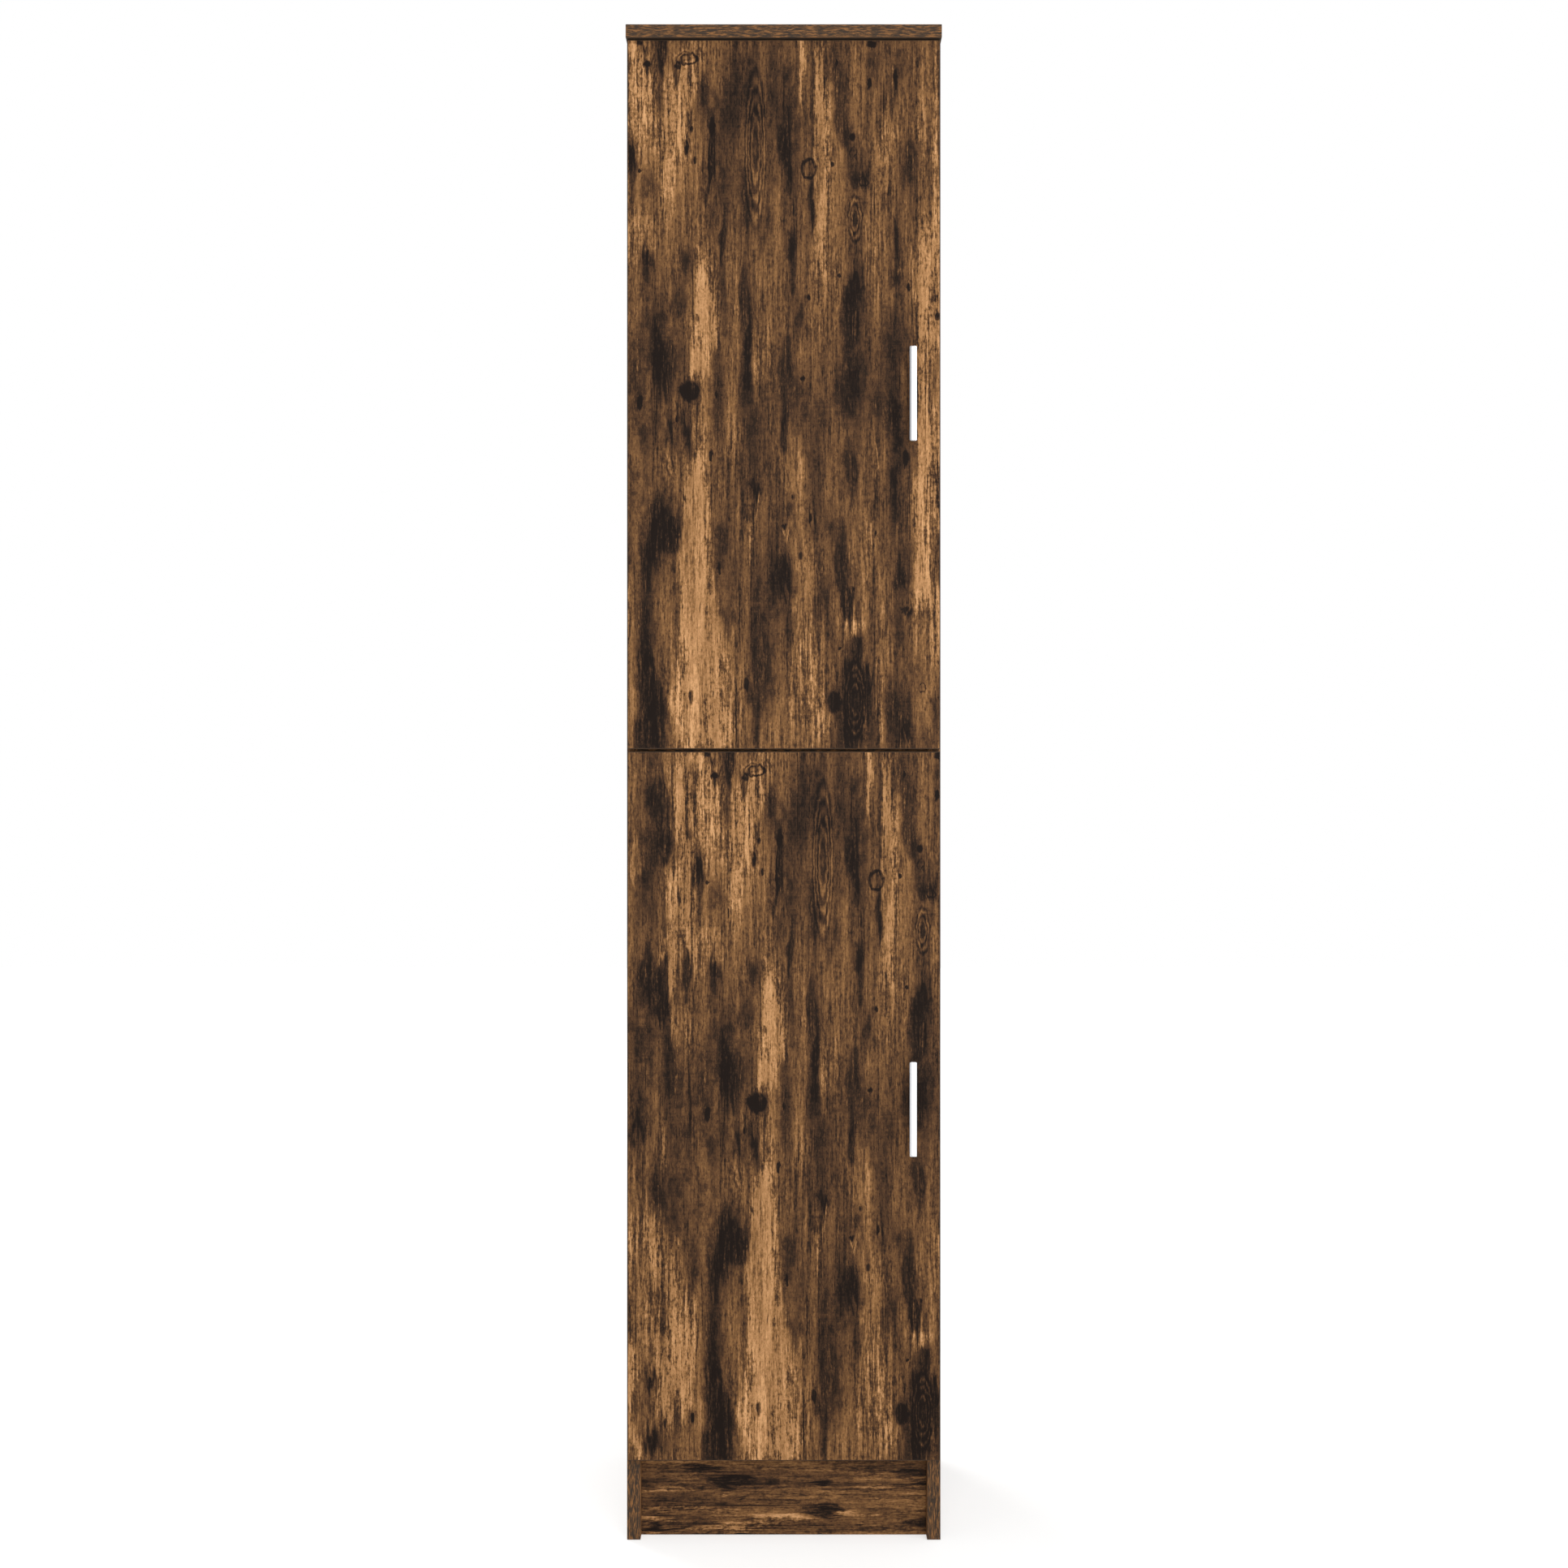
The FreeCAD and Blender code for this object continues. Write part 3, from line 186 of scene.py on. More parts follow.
def put(tree, kind, inputs=None, **settings):
    """Adds one node: settings are its own fields, inputs give a socket a value or a link."""
    node = tree.nodes.new("ShaderNode" + kind)
    for field, value in settings.items():
        setattr(node, field, value)
    for socket, value in (inputs or {}).items():
        if isinstance(value, bpy.types.NodeSocket):
            tree.links.new(value, node.inputs[socket])
        else:
            node.inputs[socket].default_value = value
    return node


def new_material(name):
    """An empty material: its tree and its shader, already linked to the output."""
    material = bpy.data.materials.new(name)
    material.use_nodes = True
    tree = material.node_tree
    tree.nodes.clear()
    shader = put(tree, "BsdfPrincipled")
    put(tree, "OutputMaterial", {"Surface": shader.outputs[0]})
    return material, tree, shader


def finish_nodes(material, names):
    """Gives every named CAD node the material."""
    for name in names:
        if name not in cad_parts:
            raise RuntimeError("the packed model has no node named " + name)
        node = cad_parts[name]
        if not node.material_slots:
            node.data.materials.append(material)
        for slot in node.material_slots:
            slot.material = material


def colour(name, code, description):
    """A colour that a user may change, given as a hex code."""
    return FloatVectorProperty(name=name, description=description, subtype="COLOR", size=4,
                               min=0.0, max=1.0, default=linear(code))


def length(name, millimetres, description):
    """A length that a user may change, given in millimetres."""
    return FloatProperty(name=name, description=description, subtype="DISTANCE", unit="LENGTH",
                         min=0.0, precision=5, default=millimetres / MM)


def share(name, value, description):
    """A plain number that a user may change."""
    return FloatProperty(name=name, description=description, min=0.0, default=value)


def watts(name, value, description):
    """The power of a lamp that a user may change."""
    return FloatProperty(name=name, description=description, subtype="POWER", unit="POWER", default=value)


class OakSettings(bpy.types.PropertyGroup):
    """Smoked oak print of the boards"""
    black: colour("Char", "#1B130F", "Burnt patches and knots")
    umber: colour("Umber", "#2C2018", "Edges of burnt patches")
    brown: colour("Dark brown", "#402D20", "Smoked grain")
    walnut: colour("Brown", "#563C28", "Ground of the print")
    chestnut: colour("Mid brown", "#704F32", "Ground of the print")
    tan: colour("Tan", "#8E663F", "Lighter grain")
    straw: colour("Straw", "#B78759", "Pale bands")
    cream: colour("Cream", "#DFAA77", "Brightest fibres")
    # Band grey also paints the shade under the top, through the plain paper of the print.
    band_grey_and_painted_shade: colour("Edge band grey", "#40362E", "Ground of the edge bands")
    band_brown: colour("Edge band brown", "#5C4532", "Middle tone of the edge bands")
    band_orange: colour("Edge band orange", "#8F643E", "Streaks of the edge bands")
    fibre_width: length("Fibre width", 1.7, "Width of one printed fibre")
    fibre_length: length("Fibre length", 15.0, "Length of one printed fibre")
    streak_width: length("Streak width", 4.6, "Width of a streak of grain")
    streak_length: length("Streak length", 120.0, "Length of a streak of grain")
    speck_width: length("Speck width", 2.4, "Width of a small dark dash of the print")
    speck_length: length("Speck length", 4.5, "Length of a small dark dash of the print")
    crack_width: length("Crack width", 3.0, "Distance of the thin dark lines along the grain")
    crack_length: length("Crack length", 170.0, "Length of the thin dark lines along the grain")
    mottle_width: length("Mottle width", 9.0, "Width of a smoky dab")
    mottle_length: length("Mottle length", 20.0, "Length of a smoky dab")
    saw_width: length("Saw mark width", 40.0, "Length across the grain of a faint saw mark")
    saw_length: length("Saw mark height", 2.6, "Height of a faint saw mark")
    band_width: length("Band width", 24.0, "Width of a tone band")
    band_length: length("Band length", 320.0, "Length of a tone band")
    edge_width: length("Edge streak width", 1.6, "Width of a streak of the edge bands")
    edge_length: length("Edge streak length", 13.0, "Length of a streak of the edge bands")
    rim_width: length("Rim width", 1.0, "Thickness of the edge band where it shows round a door")
    pore_depth: length("Pore depth", 0.08, "Depth of the embossed pores")
    pore_roughness: share("Pore roughness", 0.66, "Roughness at the bottom of a pore")
    face_roughness: share("Face roughness", 0.52, "Roughness between the pores")
    specular: share("Gloss", 0.06, "Strength of the reflection of the matt paper")


class BoardSettings(bpy.types.PropertyGroup):
    """Plain boards and dowels"""
    hardboard: colour("Hardboard", "#7A5638", "Raw rear face of the back boards")
    hardboard_dark: colour("Hardboard fibre", "#553823", "Darker fibres of the back boards")
    beech: colour("Beech", "#C9A06E", "Turned dowels")
    beech_fleck: colour("Beech fleck", "#9C7346", "Flecks of the dowels")
    clump: length("Hardboard clump", 3.667, "Size of a fibre clump")
    mesh_pitch: length("Screen pitch", 1.382, "Distance of the wires of the pressing screen")
    mesh_depth: length("Screen depth", 0.3, "Depth of the marks of the pressing screen")
    beech_grain: length("Beech grain", 1.1, "Size of a fleck of the dowels")


class MetalSettings(bpy.types.PropertyGroup):
    """Handles, hinges and fasteners"""
    nickel: colour("Satin nickel", "#DADBDE", "Handles")
    hinge: colour("Nickel plate", "#B4B2AC", "Hinges and plates")
    zinc: colour("Zinc casting", "#8D8F92", "Cam locks")
    steel: colour("Zinc-plated steel", "#A9ABAE", "Screws, bolts and nails")
    brush_width: length("Brush line", 0.5, "Width of one brush line on a handle")
    grit: length("Tumbling grit", 1.2, "Size of the marks that tumbling leaves")


class StageSettings(bpy.types.PropertyGroup):
    """Camera, lamps and floor"""
    eye_height: length("Eye height", 901.6, "Height of the camera")
    eye_distance: length("Eye distance", 2776.0, "Camera distance from the middle of the footprint")
    eye_side: length("Eye side", 0.3, "How far the camera stands to the right of the middle")
    lens: FloatProperty(name="Lens", description="Focal length in millimetres", unit="CAMERA",
                        default=50.59)
    sensor: FloatProperty(name="Sensor", description="Sensor width in millimetres", unit="CAMERA",
                          default=36.0)
    ambient: share("Ambient", 0.26, "Even light from all round")
    left_wall: share("Left wall", 0.45, "How bright metal sees the studio's left side")
    key: watts("Front lamp", 124.0, "Power of the lamp behind the camera")
    side: watts("Right lamp", 30.0, "Power of the lamp to the right")
    over: watts("Top lamp", 20.0, "Power of the lamp overhead")
    rear: watts("Rear lamp", 90.0, "Power of the lamp behind, to the left")
    floor: colour("Floor", "#EDEDEC", "Pale studio floor")
    floor_reach: length("Floor reach", 8000.0, "Half the width of the floor")
    floor_drop: length("Floor drop", 0.5, "How far the floor lies under the feet")
    roller: length("Roller mark", 16.7, "Size of the mottle of the floor paint")
    floor_glow: share("Floor glow", 0.58, "Lift of the floor towards white beside the cupboard")
    glow_start: length("Glow start", 1200.0, "Distance where the floor starts to run out into white")
    glow_end: length("Glow end", 4500.0, "Distance where the floor is white")


def oak_print():
    """The print as a node group, made once: a point in millimetres (across, along, through the board), the
    masks and the share of plain dark paper (door rims, painted shade under the top) in, colour and pore
    height out."""
    made = bpy.data.node_groups.get("smoked_oak_print")
    if made:
        return made
    oak = bpy.context.scene.cupboard_oak
    tree = bpy.data.node_groups.new("smoked_oak_print", "ShaderNodeTree")
    tree.interface.new_socket("Point", in_out="INPUT", socket_type="NodeSocketVector")
    for name in ("Char", "Pale", "Knot", "Ring", "Flame", "Plain"):
        tree.interface.new_socket(name, in_out="INPUT", socket_type="NodeSocketFloat")
    tree.interface.new_socket("Color", in_out="OUTPUT", socket_type="NodeSocketColor")
    tree.interface.new_socket("Height", in_out="OUTPUT", socket_type="NodeSocketFloat")
    given = tree.nodes.new("NodeGroupInput").outputs
    noises = {}
    for name, wide, tall, detail, roughness in (
        ("band", oak.band_width, oak.band_length, 2.0, 0.5),
        ("streak", oak.streak_width, oak.streak_length, 5.0, 0.65),
        ("fibre", oak.fibre_width, oak.fibre_length, 3.0, 0.7),
        ("speck", oak.speck_width, oak.speck_length, 4.0, 0.65),
        ("crack", oak.crack_width, oak.crack_length, 3.0, 0.6),
        ("mottle", oak.mottle_width, oak.mottle_length, 5.0, 0.65),
        ("saw", oak.saw_width, oak.saw_length, 3.0, 0.6),
    ):
        wide, tall = wide * MM, tall * MM
        spread = put(tree, "VectorMath", {0: given["Point"], 1: (1 / wide, 1 / tall, 1 / wide)},
                     operation="MULTIPLY").outputs[0]
        noise = put(tree, "TexNoise", {"Vector": spread, "Scale": 1.0, "Detail": detail,
                                       "Roughness": roughness}).outputs[0]
        noises[name] = put(tree, "Math", {0: noise, 1: 0.5}, operation="SUBTRACT").outputs[0]
    # The tone starts at the ground of the print, a little lighter or darker from band to band.
    ground, sway = 0.455, 0.6
    tone = put(tree, "Math", {0: noises["band"], 1: sway, 2: ground}, operation="MULTIPLY_ADD").outputs[0]
    # Each mask frays by the weights of the noises, and then gets a smoky halo, a firm core or both: where
    # the frayed mask rises from low to high, the tone changes by the depth.
    for mask, weights, edges in (
        ("Char", (1.8, 1.3, 1.3, 2.4, 0.5), ((0.08, 0.8, -0.22), (0.36, 0.62, -0.13), (0.72, 1.1, -0.02))),
        ("Pale", (1.6, 1.0, 0.9, 0.7, 0.3), ((0.1, 0.85, 0.18), (0.45, 0.75, 0.1))),
        ("Knot", (0.5, 0.7, 0.7), ((0.36, 0.66, -0.4),)),
        ("Ring", (0.6, 0.8, 0.8, 1.0), ((0.25, 0.85, -0.34),)),
    ):
        frayed = given[mask]
        for noise, weight in zip(("streak", "fibre", "speck", "mottle", "saw"), weights):
            frayed = put(tree, "Math", {0: noises[noise], 1: weight, 2: frayed},
                         operation="MULTIPLY_ADD").outputs[0]
        for low, high, depth in edges:
            step = put(tree, "MapRange", {0: frayed, 1: low, 2: high}, interpolation_type="SMOOTHSTEP",
                       clamp=False).outputs[0]
            tone = put(tree, "Math", {0: step, 1: depth, 2: tone}, operation="MULTIPLY_ADD").outputs[0]
    for source, depth in (
        (noises["streak"], 1.1), (noises["fibre"], 0.8), (noises["speck"], 0.7), (noises["mottle"], 0.5),
        (noises["saw"], 0.08), (given["Flame"], 0.145),
    ):
        tone = put(tree, "Math", {0: source, 1: depth, 2: tone}, operation="MULTIPLY_ADD").outputs[0]
    # Pores and fine cracks: the crests of two noises, printed dark and pressed in
    marks = 0.0
    for noise, low, high, depth in (("speck", 0.14, 0.22, -0.2), ("crack", 0.14, 0.24, -0.28)):
        mark = put(tree, "MapRange", {0: noises[noise], 1: low, 2: high, 4: depth}).outputs[0]
        marks = put(tree, "Math", {0: mark, 1: marks}, operation="ADD").outputs[0]
    tone = put(tree, "Math", {0: tone, 1: marks}, operation="ADD").outputs[0]
    ramp = put(tree, "ValToRGB", {0: tone})
    stops = (
        (0.06, oak.black), (0.17, oak.umber), (0.285, oak.brown), (0.385, oak.walnut),
        (0.495, oak.chestnut), (0.61, oak.tan), (0.785, oak.straw), (0.955, oak.cream),
    )
    while len(ramp.color_ramp.elements) < len(stops):
        ramp.color_ramp.elements.new(0.5)
    for element, (position, paint) in zip(ramp.color_ramp.elements, stops):
        element.position = position
        element.color = paint
    height = put(tree, "Math", {0: noises["fibre"], 1: 1.0, 2: marks}, operation="MULTIPLY_ADD").outputs[0]
    # Plain dark paper in band grey: the edge band round the doors, and painted shade under the top.
    paint = put(tree, "Mix", {0: given["Plain"], 6: ramp.outputs[0], 7: oak.band_grey_and_painted_shade},
                data_type="RGBA").outputs[2]
    results = tree.nodes.new("NodeGroupOutput").inputs
    tree.links.new(paint, results["Color"])
    tree.links.new(height, results["Height"])
    return tree


def spots(tree, point, places):
    """Sums soft spots on the print: full at the middle, half at the half size, nothing at twice that."""
    total = 0.0
    for across, along, wide, tall, strength in places:
        scale = Vector((0.5 / wide, 0.5 / tall, 0.0))
        shift = Vector((-across * scale.x, -along * scale.y, 0.0))
        local = put(tree, "VectorMath", {0: point, 1: scale, 2: shift}, operation="MULTIPLY_ADD").outputs[0]
        radius = put(tree, "VectorMath", {0: local}, operation="LENGTH").outputs["Value"]
        spot = put(tree, "MapRange", {0: radius, 3: strength, 4: 0.0}, interpolation_type="SMOOTHSTEP",
                   clamp=False).outputs[0]
        total = put(tree, "Math", {0: spot, 1: total}, operation="ADD").outputs[0]
    return total


def rings(tree, point, places):
    """Sums knots that show as a dark ring: the ring stands at the half size and fades to both sides."""
    total = 0.0
    for across, along, wide, tall, strength in places:
        core = spots(tree, point, [(across, along, wide, tall, 1.0)])
        away = put(tree, "Math", {0: core, 1: 0.5}, operation="SUBTRACT").outputs[0]
        away = put(tree, "Math", {0: away}, operation="ABSOLUTE").outputs[0]
        ring = put(tree, "MapRange", {0: away, 1: 0.0, 2: 0.3, 3: strength, 4: 0.0},
                   interpolation_type="SMOOTHSTEP", clamp=False).outputs[0]
        total = put(tree, "Math", {0: ring, 1: total}, operation="ADD").outputs[0]
    return total


def flames(tree, point, places):
    """Sums nested spindles of growth rings, which fade at their outermost ring."""
    total = 0.0
    for across, along, wide, tall, count in places:
        core = spots(tree, point, [(across, along, wide / 2.0, tall / 2.0, 1.0)])
        wave = put(tree, "Math", {0: core, 1: 2.0 * math.pi * count}, operation="MULTIPLY").outputs[0]
        wave = put(tree, "Math", {0: wave}, operation="SINE").outputs[0]
        fade = put(tree, "MapRange", {0: core, 2: 0.25}, interpolation_type="SMOOTHSTEP",
                   clamp=False).outputs[0]
        total = put(tree, "Math", {0: wave, 1: fade, 2: total}, operation="MULTIPLY_ADD").outputs[0]
    return total


def mask_group(name, build, places):
    """A node group that takes a point of the print and gives the mask that build makes of the places."""
    tree = bpy.data.node_groups.new("print_" + name.lower(), "ShaderNodeTree")
    tree.interface.new_socket("Point", in_out="INPUT", socket_type="NodeSocketVector")
    tree.interface.new_socket(name, in_out="OUTPUT", socket_type="NodeSocketFloat")
    mask = build(tree, tree.nodes.new("NodeGroupInput").outputs[0], places)
    tree.links.new(mask, tree.nodes.new("NodeGroupOutput").inputs[0])
    return tree


def frayed_point(tree, point, wide, tall, across, along):
    """Moves a point by a stretched noise, so that the edges of what is placed there run with the grain."""
    spread = put(tree, "VectorMath", {0: point, 1: (1 / wide, 1 / tall, 0.0)},
                 operation="MULTIPLY").outputs[0]
    noise = put(tree, "TexNoise", {"Vector": spread, "Scale": 1.0, "Detail": 3.0}).outputs["Color"]
    centred = put(tree, "VectorMath", {0: noise, 1: (0.5, 0.5, 0.5)}, operation="SUBTRACT").outputs[0]
    return put(tree, "VectorMath", {0: centred, 1: (across, along, 0.0), 2: point},
               operation="MULTIPLY_ADD").outputs[0]


def edge_band(tree, place, normal, thickness):
    """Colour of the edge band: short wavy streaks along the edge, found from the board's thickness axis."""
    oak = bpy.context.scene.cupboard_oak
    axis = tuple(1.0 if i == thickness else 0.0 for i in range(3))
    run = put(tree, "VectorMath", {0: axis, 1: normal}, operation="CROSS_PRODUCT").outputs[0]
    along = put(tree, "VectorMath", {0: place, 1: run}, operation="DOT_PRODUCT").outputs["Value"]
    across = put(tree, "VectorMath", {0: place, 1: axis}, operation="DOT_PRODUCT").outputs["Value"]
    point = put(tree, "CombineXYZ", {0: across, 1: along}).outputs[0]
    waved = frayed_point(tree, point, *BAND_FRAY)
    streak = (1 / (oak.edge_width * MM), 1 / (oak.edge_length * MM), 0.0)
    spread = put(tree, "VectorMath", {0: waved, 1: streak}, operation="MULTIPLY").outputs[0]
    noise = put(tree, "TexNoise", {"Vector": spread, "Scale": 1.0, "Detail": 4.0,
                                   "Roughness": 0.65}).outputs[0]
    ramp = put(tree, "ValToRGB", {0: noise})
    ramp.color_ramp.elements.new(0.5)
    for element, (position, paint) in zip(
        ramp.color_ramp.elements, ((0.43, oak.band_grey_and_painted_shade), (0.515, oak.band_brown), (0.6, oak.band_orange))
    ):
        element.position = position
        element.color = paint
    return ramp.outputs[0]


def oak_board(name, axes, thickness, placed=None, steps=None):
    """Smoked oak on chipboard: melamine paper pressed on both faces with a fine pore, and a matching edge
    band. It shows dull, with charred patches and straw streaks that follow the grain.
    axes gives the object axes that run across, along and through the print, and thickness the one through the
    board. steps moves the point to the sheet of print, placed gives the masks there."""
    oak = bpy.context.scene.cupboard_oak
    material, tree, shader = new_material(name)
    where = put(tree, "TexCoord")
    place = put(tree, "VectorMath", {0: where.outputs["Object"], "Scale": MM}, operation="SCALE").outputs[0]
    normal = where.outputs["Normal"]
    parts = put(tree, "SeparateXYZ", {0: place}).outputs
    turned = put(tree, "CombineXYZ", {i: parts[axis] for i, axis in enumerate(axes)}).outputs[0]
    point, masks = steps(tree, turned, normal) if steps else (turned, {})
    ragged = frayed_point(tree, frayed_point(tree, point, *PATCH_FRAY), *FIBRE_FRAY)
    if placed:
        masks.update(placed(tree, point, ragged))
    else:
        # Boards without placed patches get them from a noise of the patches' width and length.
        for mask, wide, tall, low, high in (
            ("Char", 25.0, 170.0, 0.52, 0.74), ("Pale", 26.0, 230.0, 0.47, 0.72)
        ):
            spread = put(tree, "VectorMath", {0: ragged, 1: (1 / wide, 1 / tall, 1 / wide), 2: (wide, 0, 0)},
                         operation="MULTIPLY_ADD").outputs[0]
            noise = put(tree, "TexNoise", {"Vector": spread, "Scale": 1.0, "Detail": 3.0}).outputs[0]
            masks[mask] = put(tree, "MapRange", {0: noise, 1: low, 2: high}).outputs[0]
    printed = put(tree, "Group", {"Point": point, **masks}, node_tree=oak_print()).outputs
    facing = put(tree, "SeparateXYZ", {0: normal}).outputs[thickness]
    facing = put(tree, "Math", {0: facing}, operation="ABSOLUTE").outputs[0]
    on_face = put(tree, "MapRange", {0: facing, 1: 0.75, 2: 0.9}).outputs[0]
    band = edge_band(tree, place, normal, thickness)
    paint = put(tree, "Mix", {0: on_face, 6: band, 7: printed["Color"]}, data_type="RGBA").outputs[2]
    tree.links.new(paint, shader.inputs["Base Color"])
    gloss = put(tree, "MapRange", {0: printed["Height"], 1: -0.3, 2: 0.3, 3: oak.pore_roughness,
                                   4: oak.face_roughness}).outputs[0]
    tree.links.new(gloss, shader.inputs["Roughness"])
    pores = put(tree, "Bump", {"Height": printed["Height"], "Distance": oak.pore_depth,
                               "Strength": 0.5}).outputs[0]
    tree.links.new(pores, shader.inputs["Normal"])
    shader.inputs["Specular IOR Level"].default_value = oak.specular
    return material


class CUPBOARD_OT_doors(bpy.types.Operator):
    """Print the doors with smoked oak, both from one sheet, the lower one cut 80 mm to the side"""
    bl_idname = "cupboard.doors"
    bl_label = "Doors"

    def execute(self, context):
        upper_low, upper_high = (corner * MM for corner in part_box("upper_door"))
        lower_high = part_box("lower_door")[1] * MM
        half_gap = (upper_low.z + lower_high.z) / 2.0
        wide, tall = upper_high.x - upper_low.x, upper_high.z - upper_low.z
        rim = context.scene.cupboard_oak.rim_width * MM

        def steps(tree, turned, normal):
            height = put(tree, "SeparateXYZ", {0: turned}).outputs[1]
            lower = put(tree, "Math", {0: height, 1: half_gap}, operation="LESS_THAN").outputs[0]
            front = put(tree, "VectorMath", {0: turned, 1: (1, -1, 1), 2: (-upper_low.x, upper_high.z, 0)},
                        operation="MULTIPLY_ADD").outputs[0]
            drop = (0, lower_high.z - upper_high.z, 0)
            front = put(tree, "VectorMath", {0: lower, 1: drop, 2: front},
                        operation="MULTIPLY_ADD").outputs[0]
            # The edge band shows as a thin line all round the face.
            middle = put(tree, "VectorMath", {0: front, 1: (wide / 2, tall / 2, 0)},
                         operation="SUBTRACT").outputs[0]
            middle = put(tree, "VectorMath", {0: middle}, operation="ABSOLUTE").outputs[0]
            beyond = put(tree, "VectorMath", {0: middle, 1: (wide / 2 - rim, tall / 2 - rim, 0)},
                         operation="SUBTRACT").outputs[0]
            beyond = put(tree, "SeparateXYZ", {0: beyond}).outputs
            edge = put(tree, "Math", {0: beyond[0], 1: beyond[1]}, operation="MAXIMUM").outputs[0]
            edge = put(tree, "Math", {0: edge, 1: 0.0}, operation="GREATER_THAN").outputs[0]
            front = put(tree, "VectorMath", {0: lower, 1: PRINT_SHIFT, 2: front},
                        operation="MULTIPLY_ADD").outputs[0]
            # The inner face carries the same sheet turned round.
            inside = put(tree, "SeparateXYZ", {0: normal}).outputs[1]
            inside = put(tree, "Math", {0: inside, 1: 0.0}, operation="GREATER_THAN").outputs[0]
            flip = put(tree, "Math", {0: inside, 1: -2.0, 2: 1.0}, operation="MULTIPLY_ADD").outputs[0]
            turn = put(tree, "VectorMath", {0: front, "Scale": flip}, operation="SCALE").outputs[0]
            return put(tree, "VectorMath", {0: inside, 1: (wide, tall, 0), 2: turn},
                       operation="MULTIPLY_ADD").outputs[0], {"Plain": edge}

        def placed(tree, point, ragged):
            close = frayed_point(tree, point, *KNOT_FRAY)
            masks = {"Char": (ragged, spots, CHAR_SPOTS), "Pale": (ragged, spots, PALE_SPOTS),
                     "Knot": (close, spots, KNOTS), "Ring": (close, rings, RING_KNOTS),
                     "Flame": (close, flames, FLAMES)}
            return {mask: put(tree, "Group", {0: where}, node_tree=mask_group(mask, build, places)).outputs[0]
                    for mask, (where, build, places) in masks.items()}

        material = oak_board("smoked_oak_melamine_doors", (0, 2, 1), 1, placed, steps)
        finish_nodes(material, ("upper_door", "lower_door"))
        return {"FINISHED"}


class CUPBOARD_OT_carcass(bpy.types.Operator):
    """Print the side boards, top, levels, shelves and plinth with smoked oak, with painted shade under the
    top
    """
    bl_idname = "cupboard.carcass"
    bl_label = "Carcass and shelves"

    def execute(self, context):
        low, high = (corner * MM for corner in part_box("plinth_board"))

        def plinth_steps(tree, turned, normal):
            return put(tree, "VectorMath", {0: turned, 1: (-1, 1, 1), 2: (high.z, -low.x, 0)},
                       operation="MULTIPLY_ADD").outputs[0], {}

        def plinth_placed(tree, point, ragged):
            masks = {}
            for mask, where, places in (("Char", ragged, PLINTH_CHAR), ("Pale", ragged, PLINTH_PALE),
                                        ("Knot", point, PLINTH_KNOTS)):
                # The grain lies level here, so along and across change places.
                level = [(down, across, tall, wide, strength)
                         for across, down, wide, tall, strength in places]
                group = mask_group(mask, spots, level)
                masks[mask] = put(tree, "Group", {0: where}, node_tree=group).outputs[0]
            return masks

        def top_with_painted_shade_under(tree, turned, normal):
            # Underneath, the top gets the plain dark paper: painted shade, for the shadow under the top.
            facing = put(tree, "SeparateXYZ", {0: normal}).outputs[2]
            under = put(tree, "Math", {0: facing, 1: -0.5}, operation="LESS_THAN").outputs[0]
            return turned, {"Plain": under}

        sides = oak_board("smoked_oak_melamine_sides", (1, 2, 0), 0)
        top = oak_board("smoked_oak_melamine_top_painted_shade_under", (1, 0, 2), 2, steps=top_with_painted_shade_under)
        levels = oak_board("smoked_oak_melamine_levels", (1, 0, 2), 2)
        plinth = oak_board("smoked_oak_melamine_plinth", (2, 0, 1), 1, plinth_placed, plinth_steps)
        finish_nodes(sides, ("left_side_panel", "right_side_panel"))
        finish_nodes(top, ("top_panel",))
        finish_nodes(levels, ("bottom_panel", "middle_panel") + tuple(
            door + "_shelf_" + place for door in ("upper", "lower") for place in ("low", "high")))
        finish_nodes(plinth, ("plinth_board",))
        return {"FINISHED"}


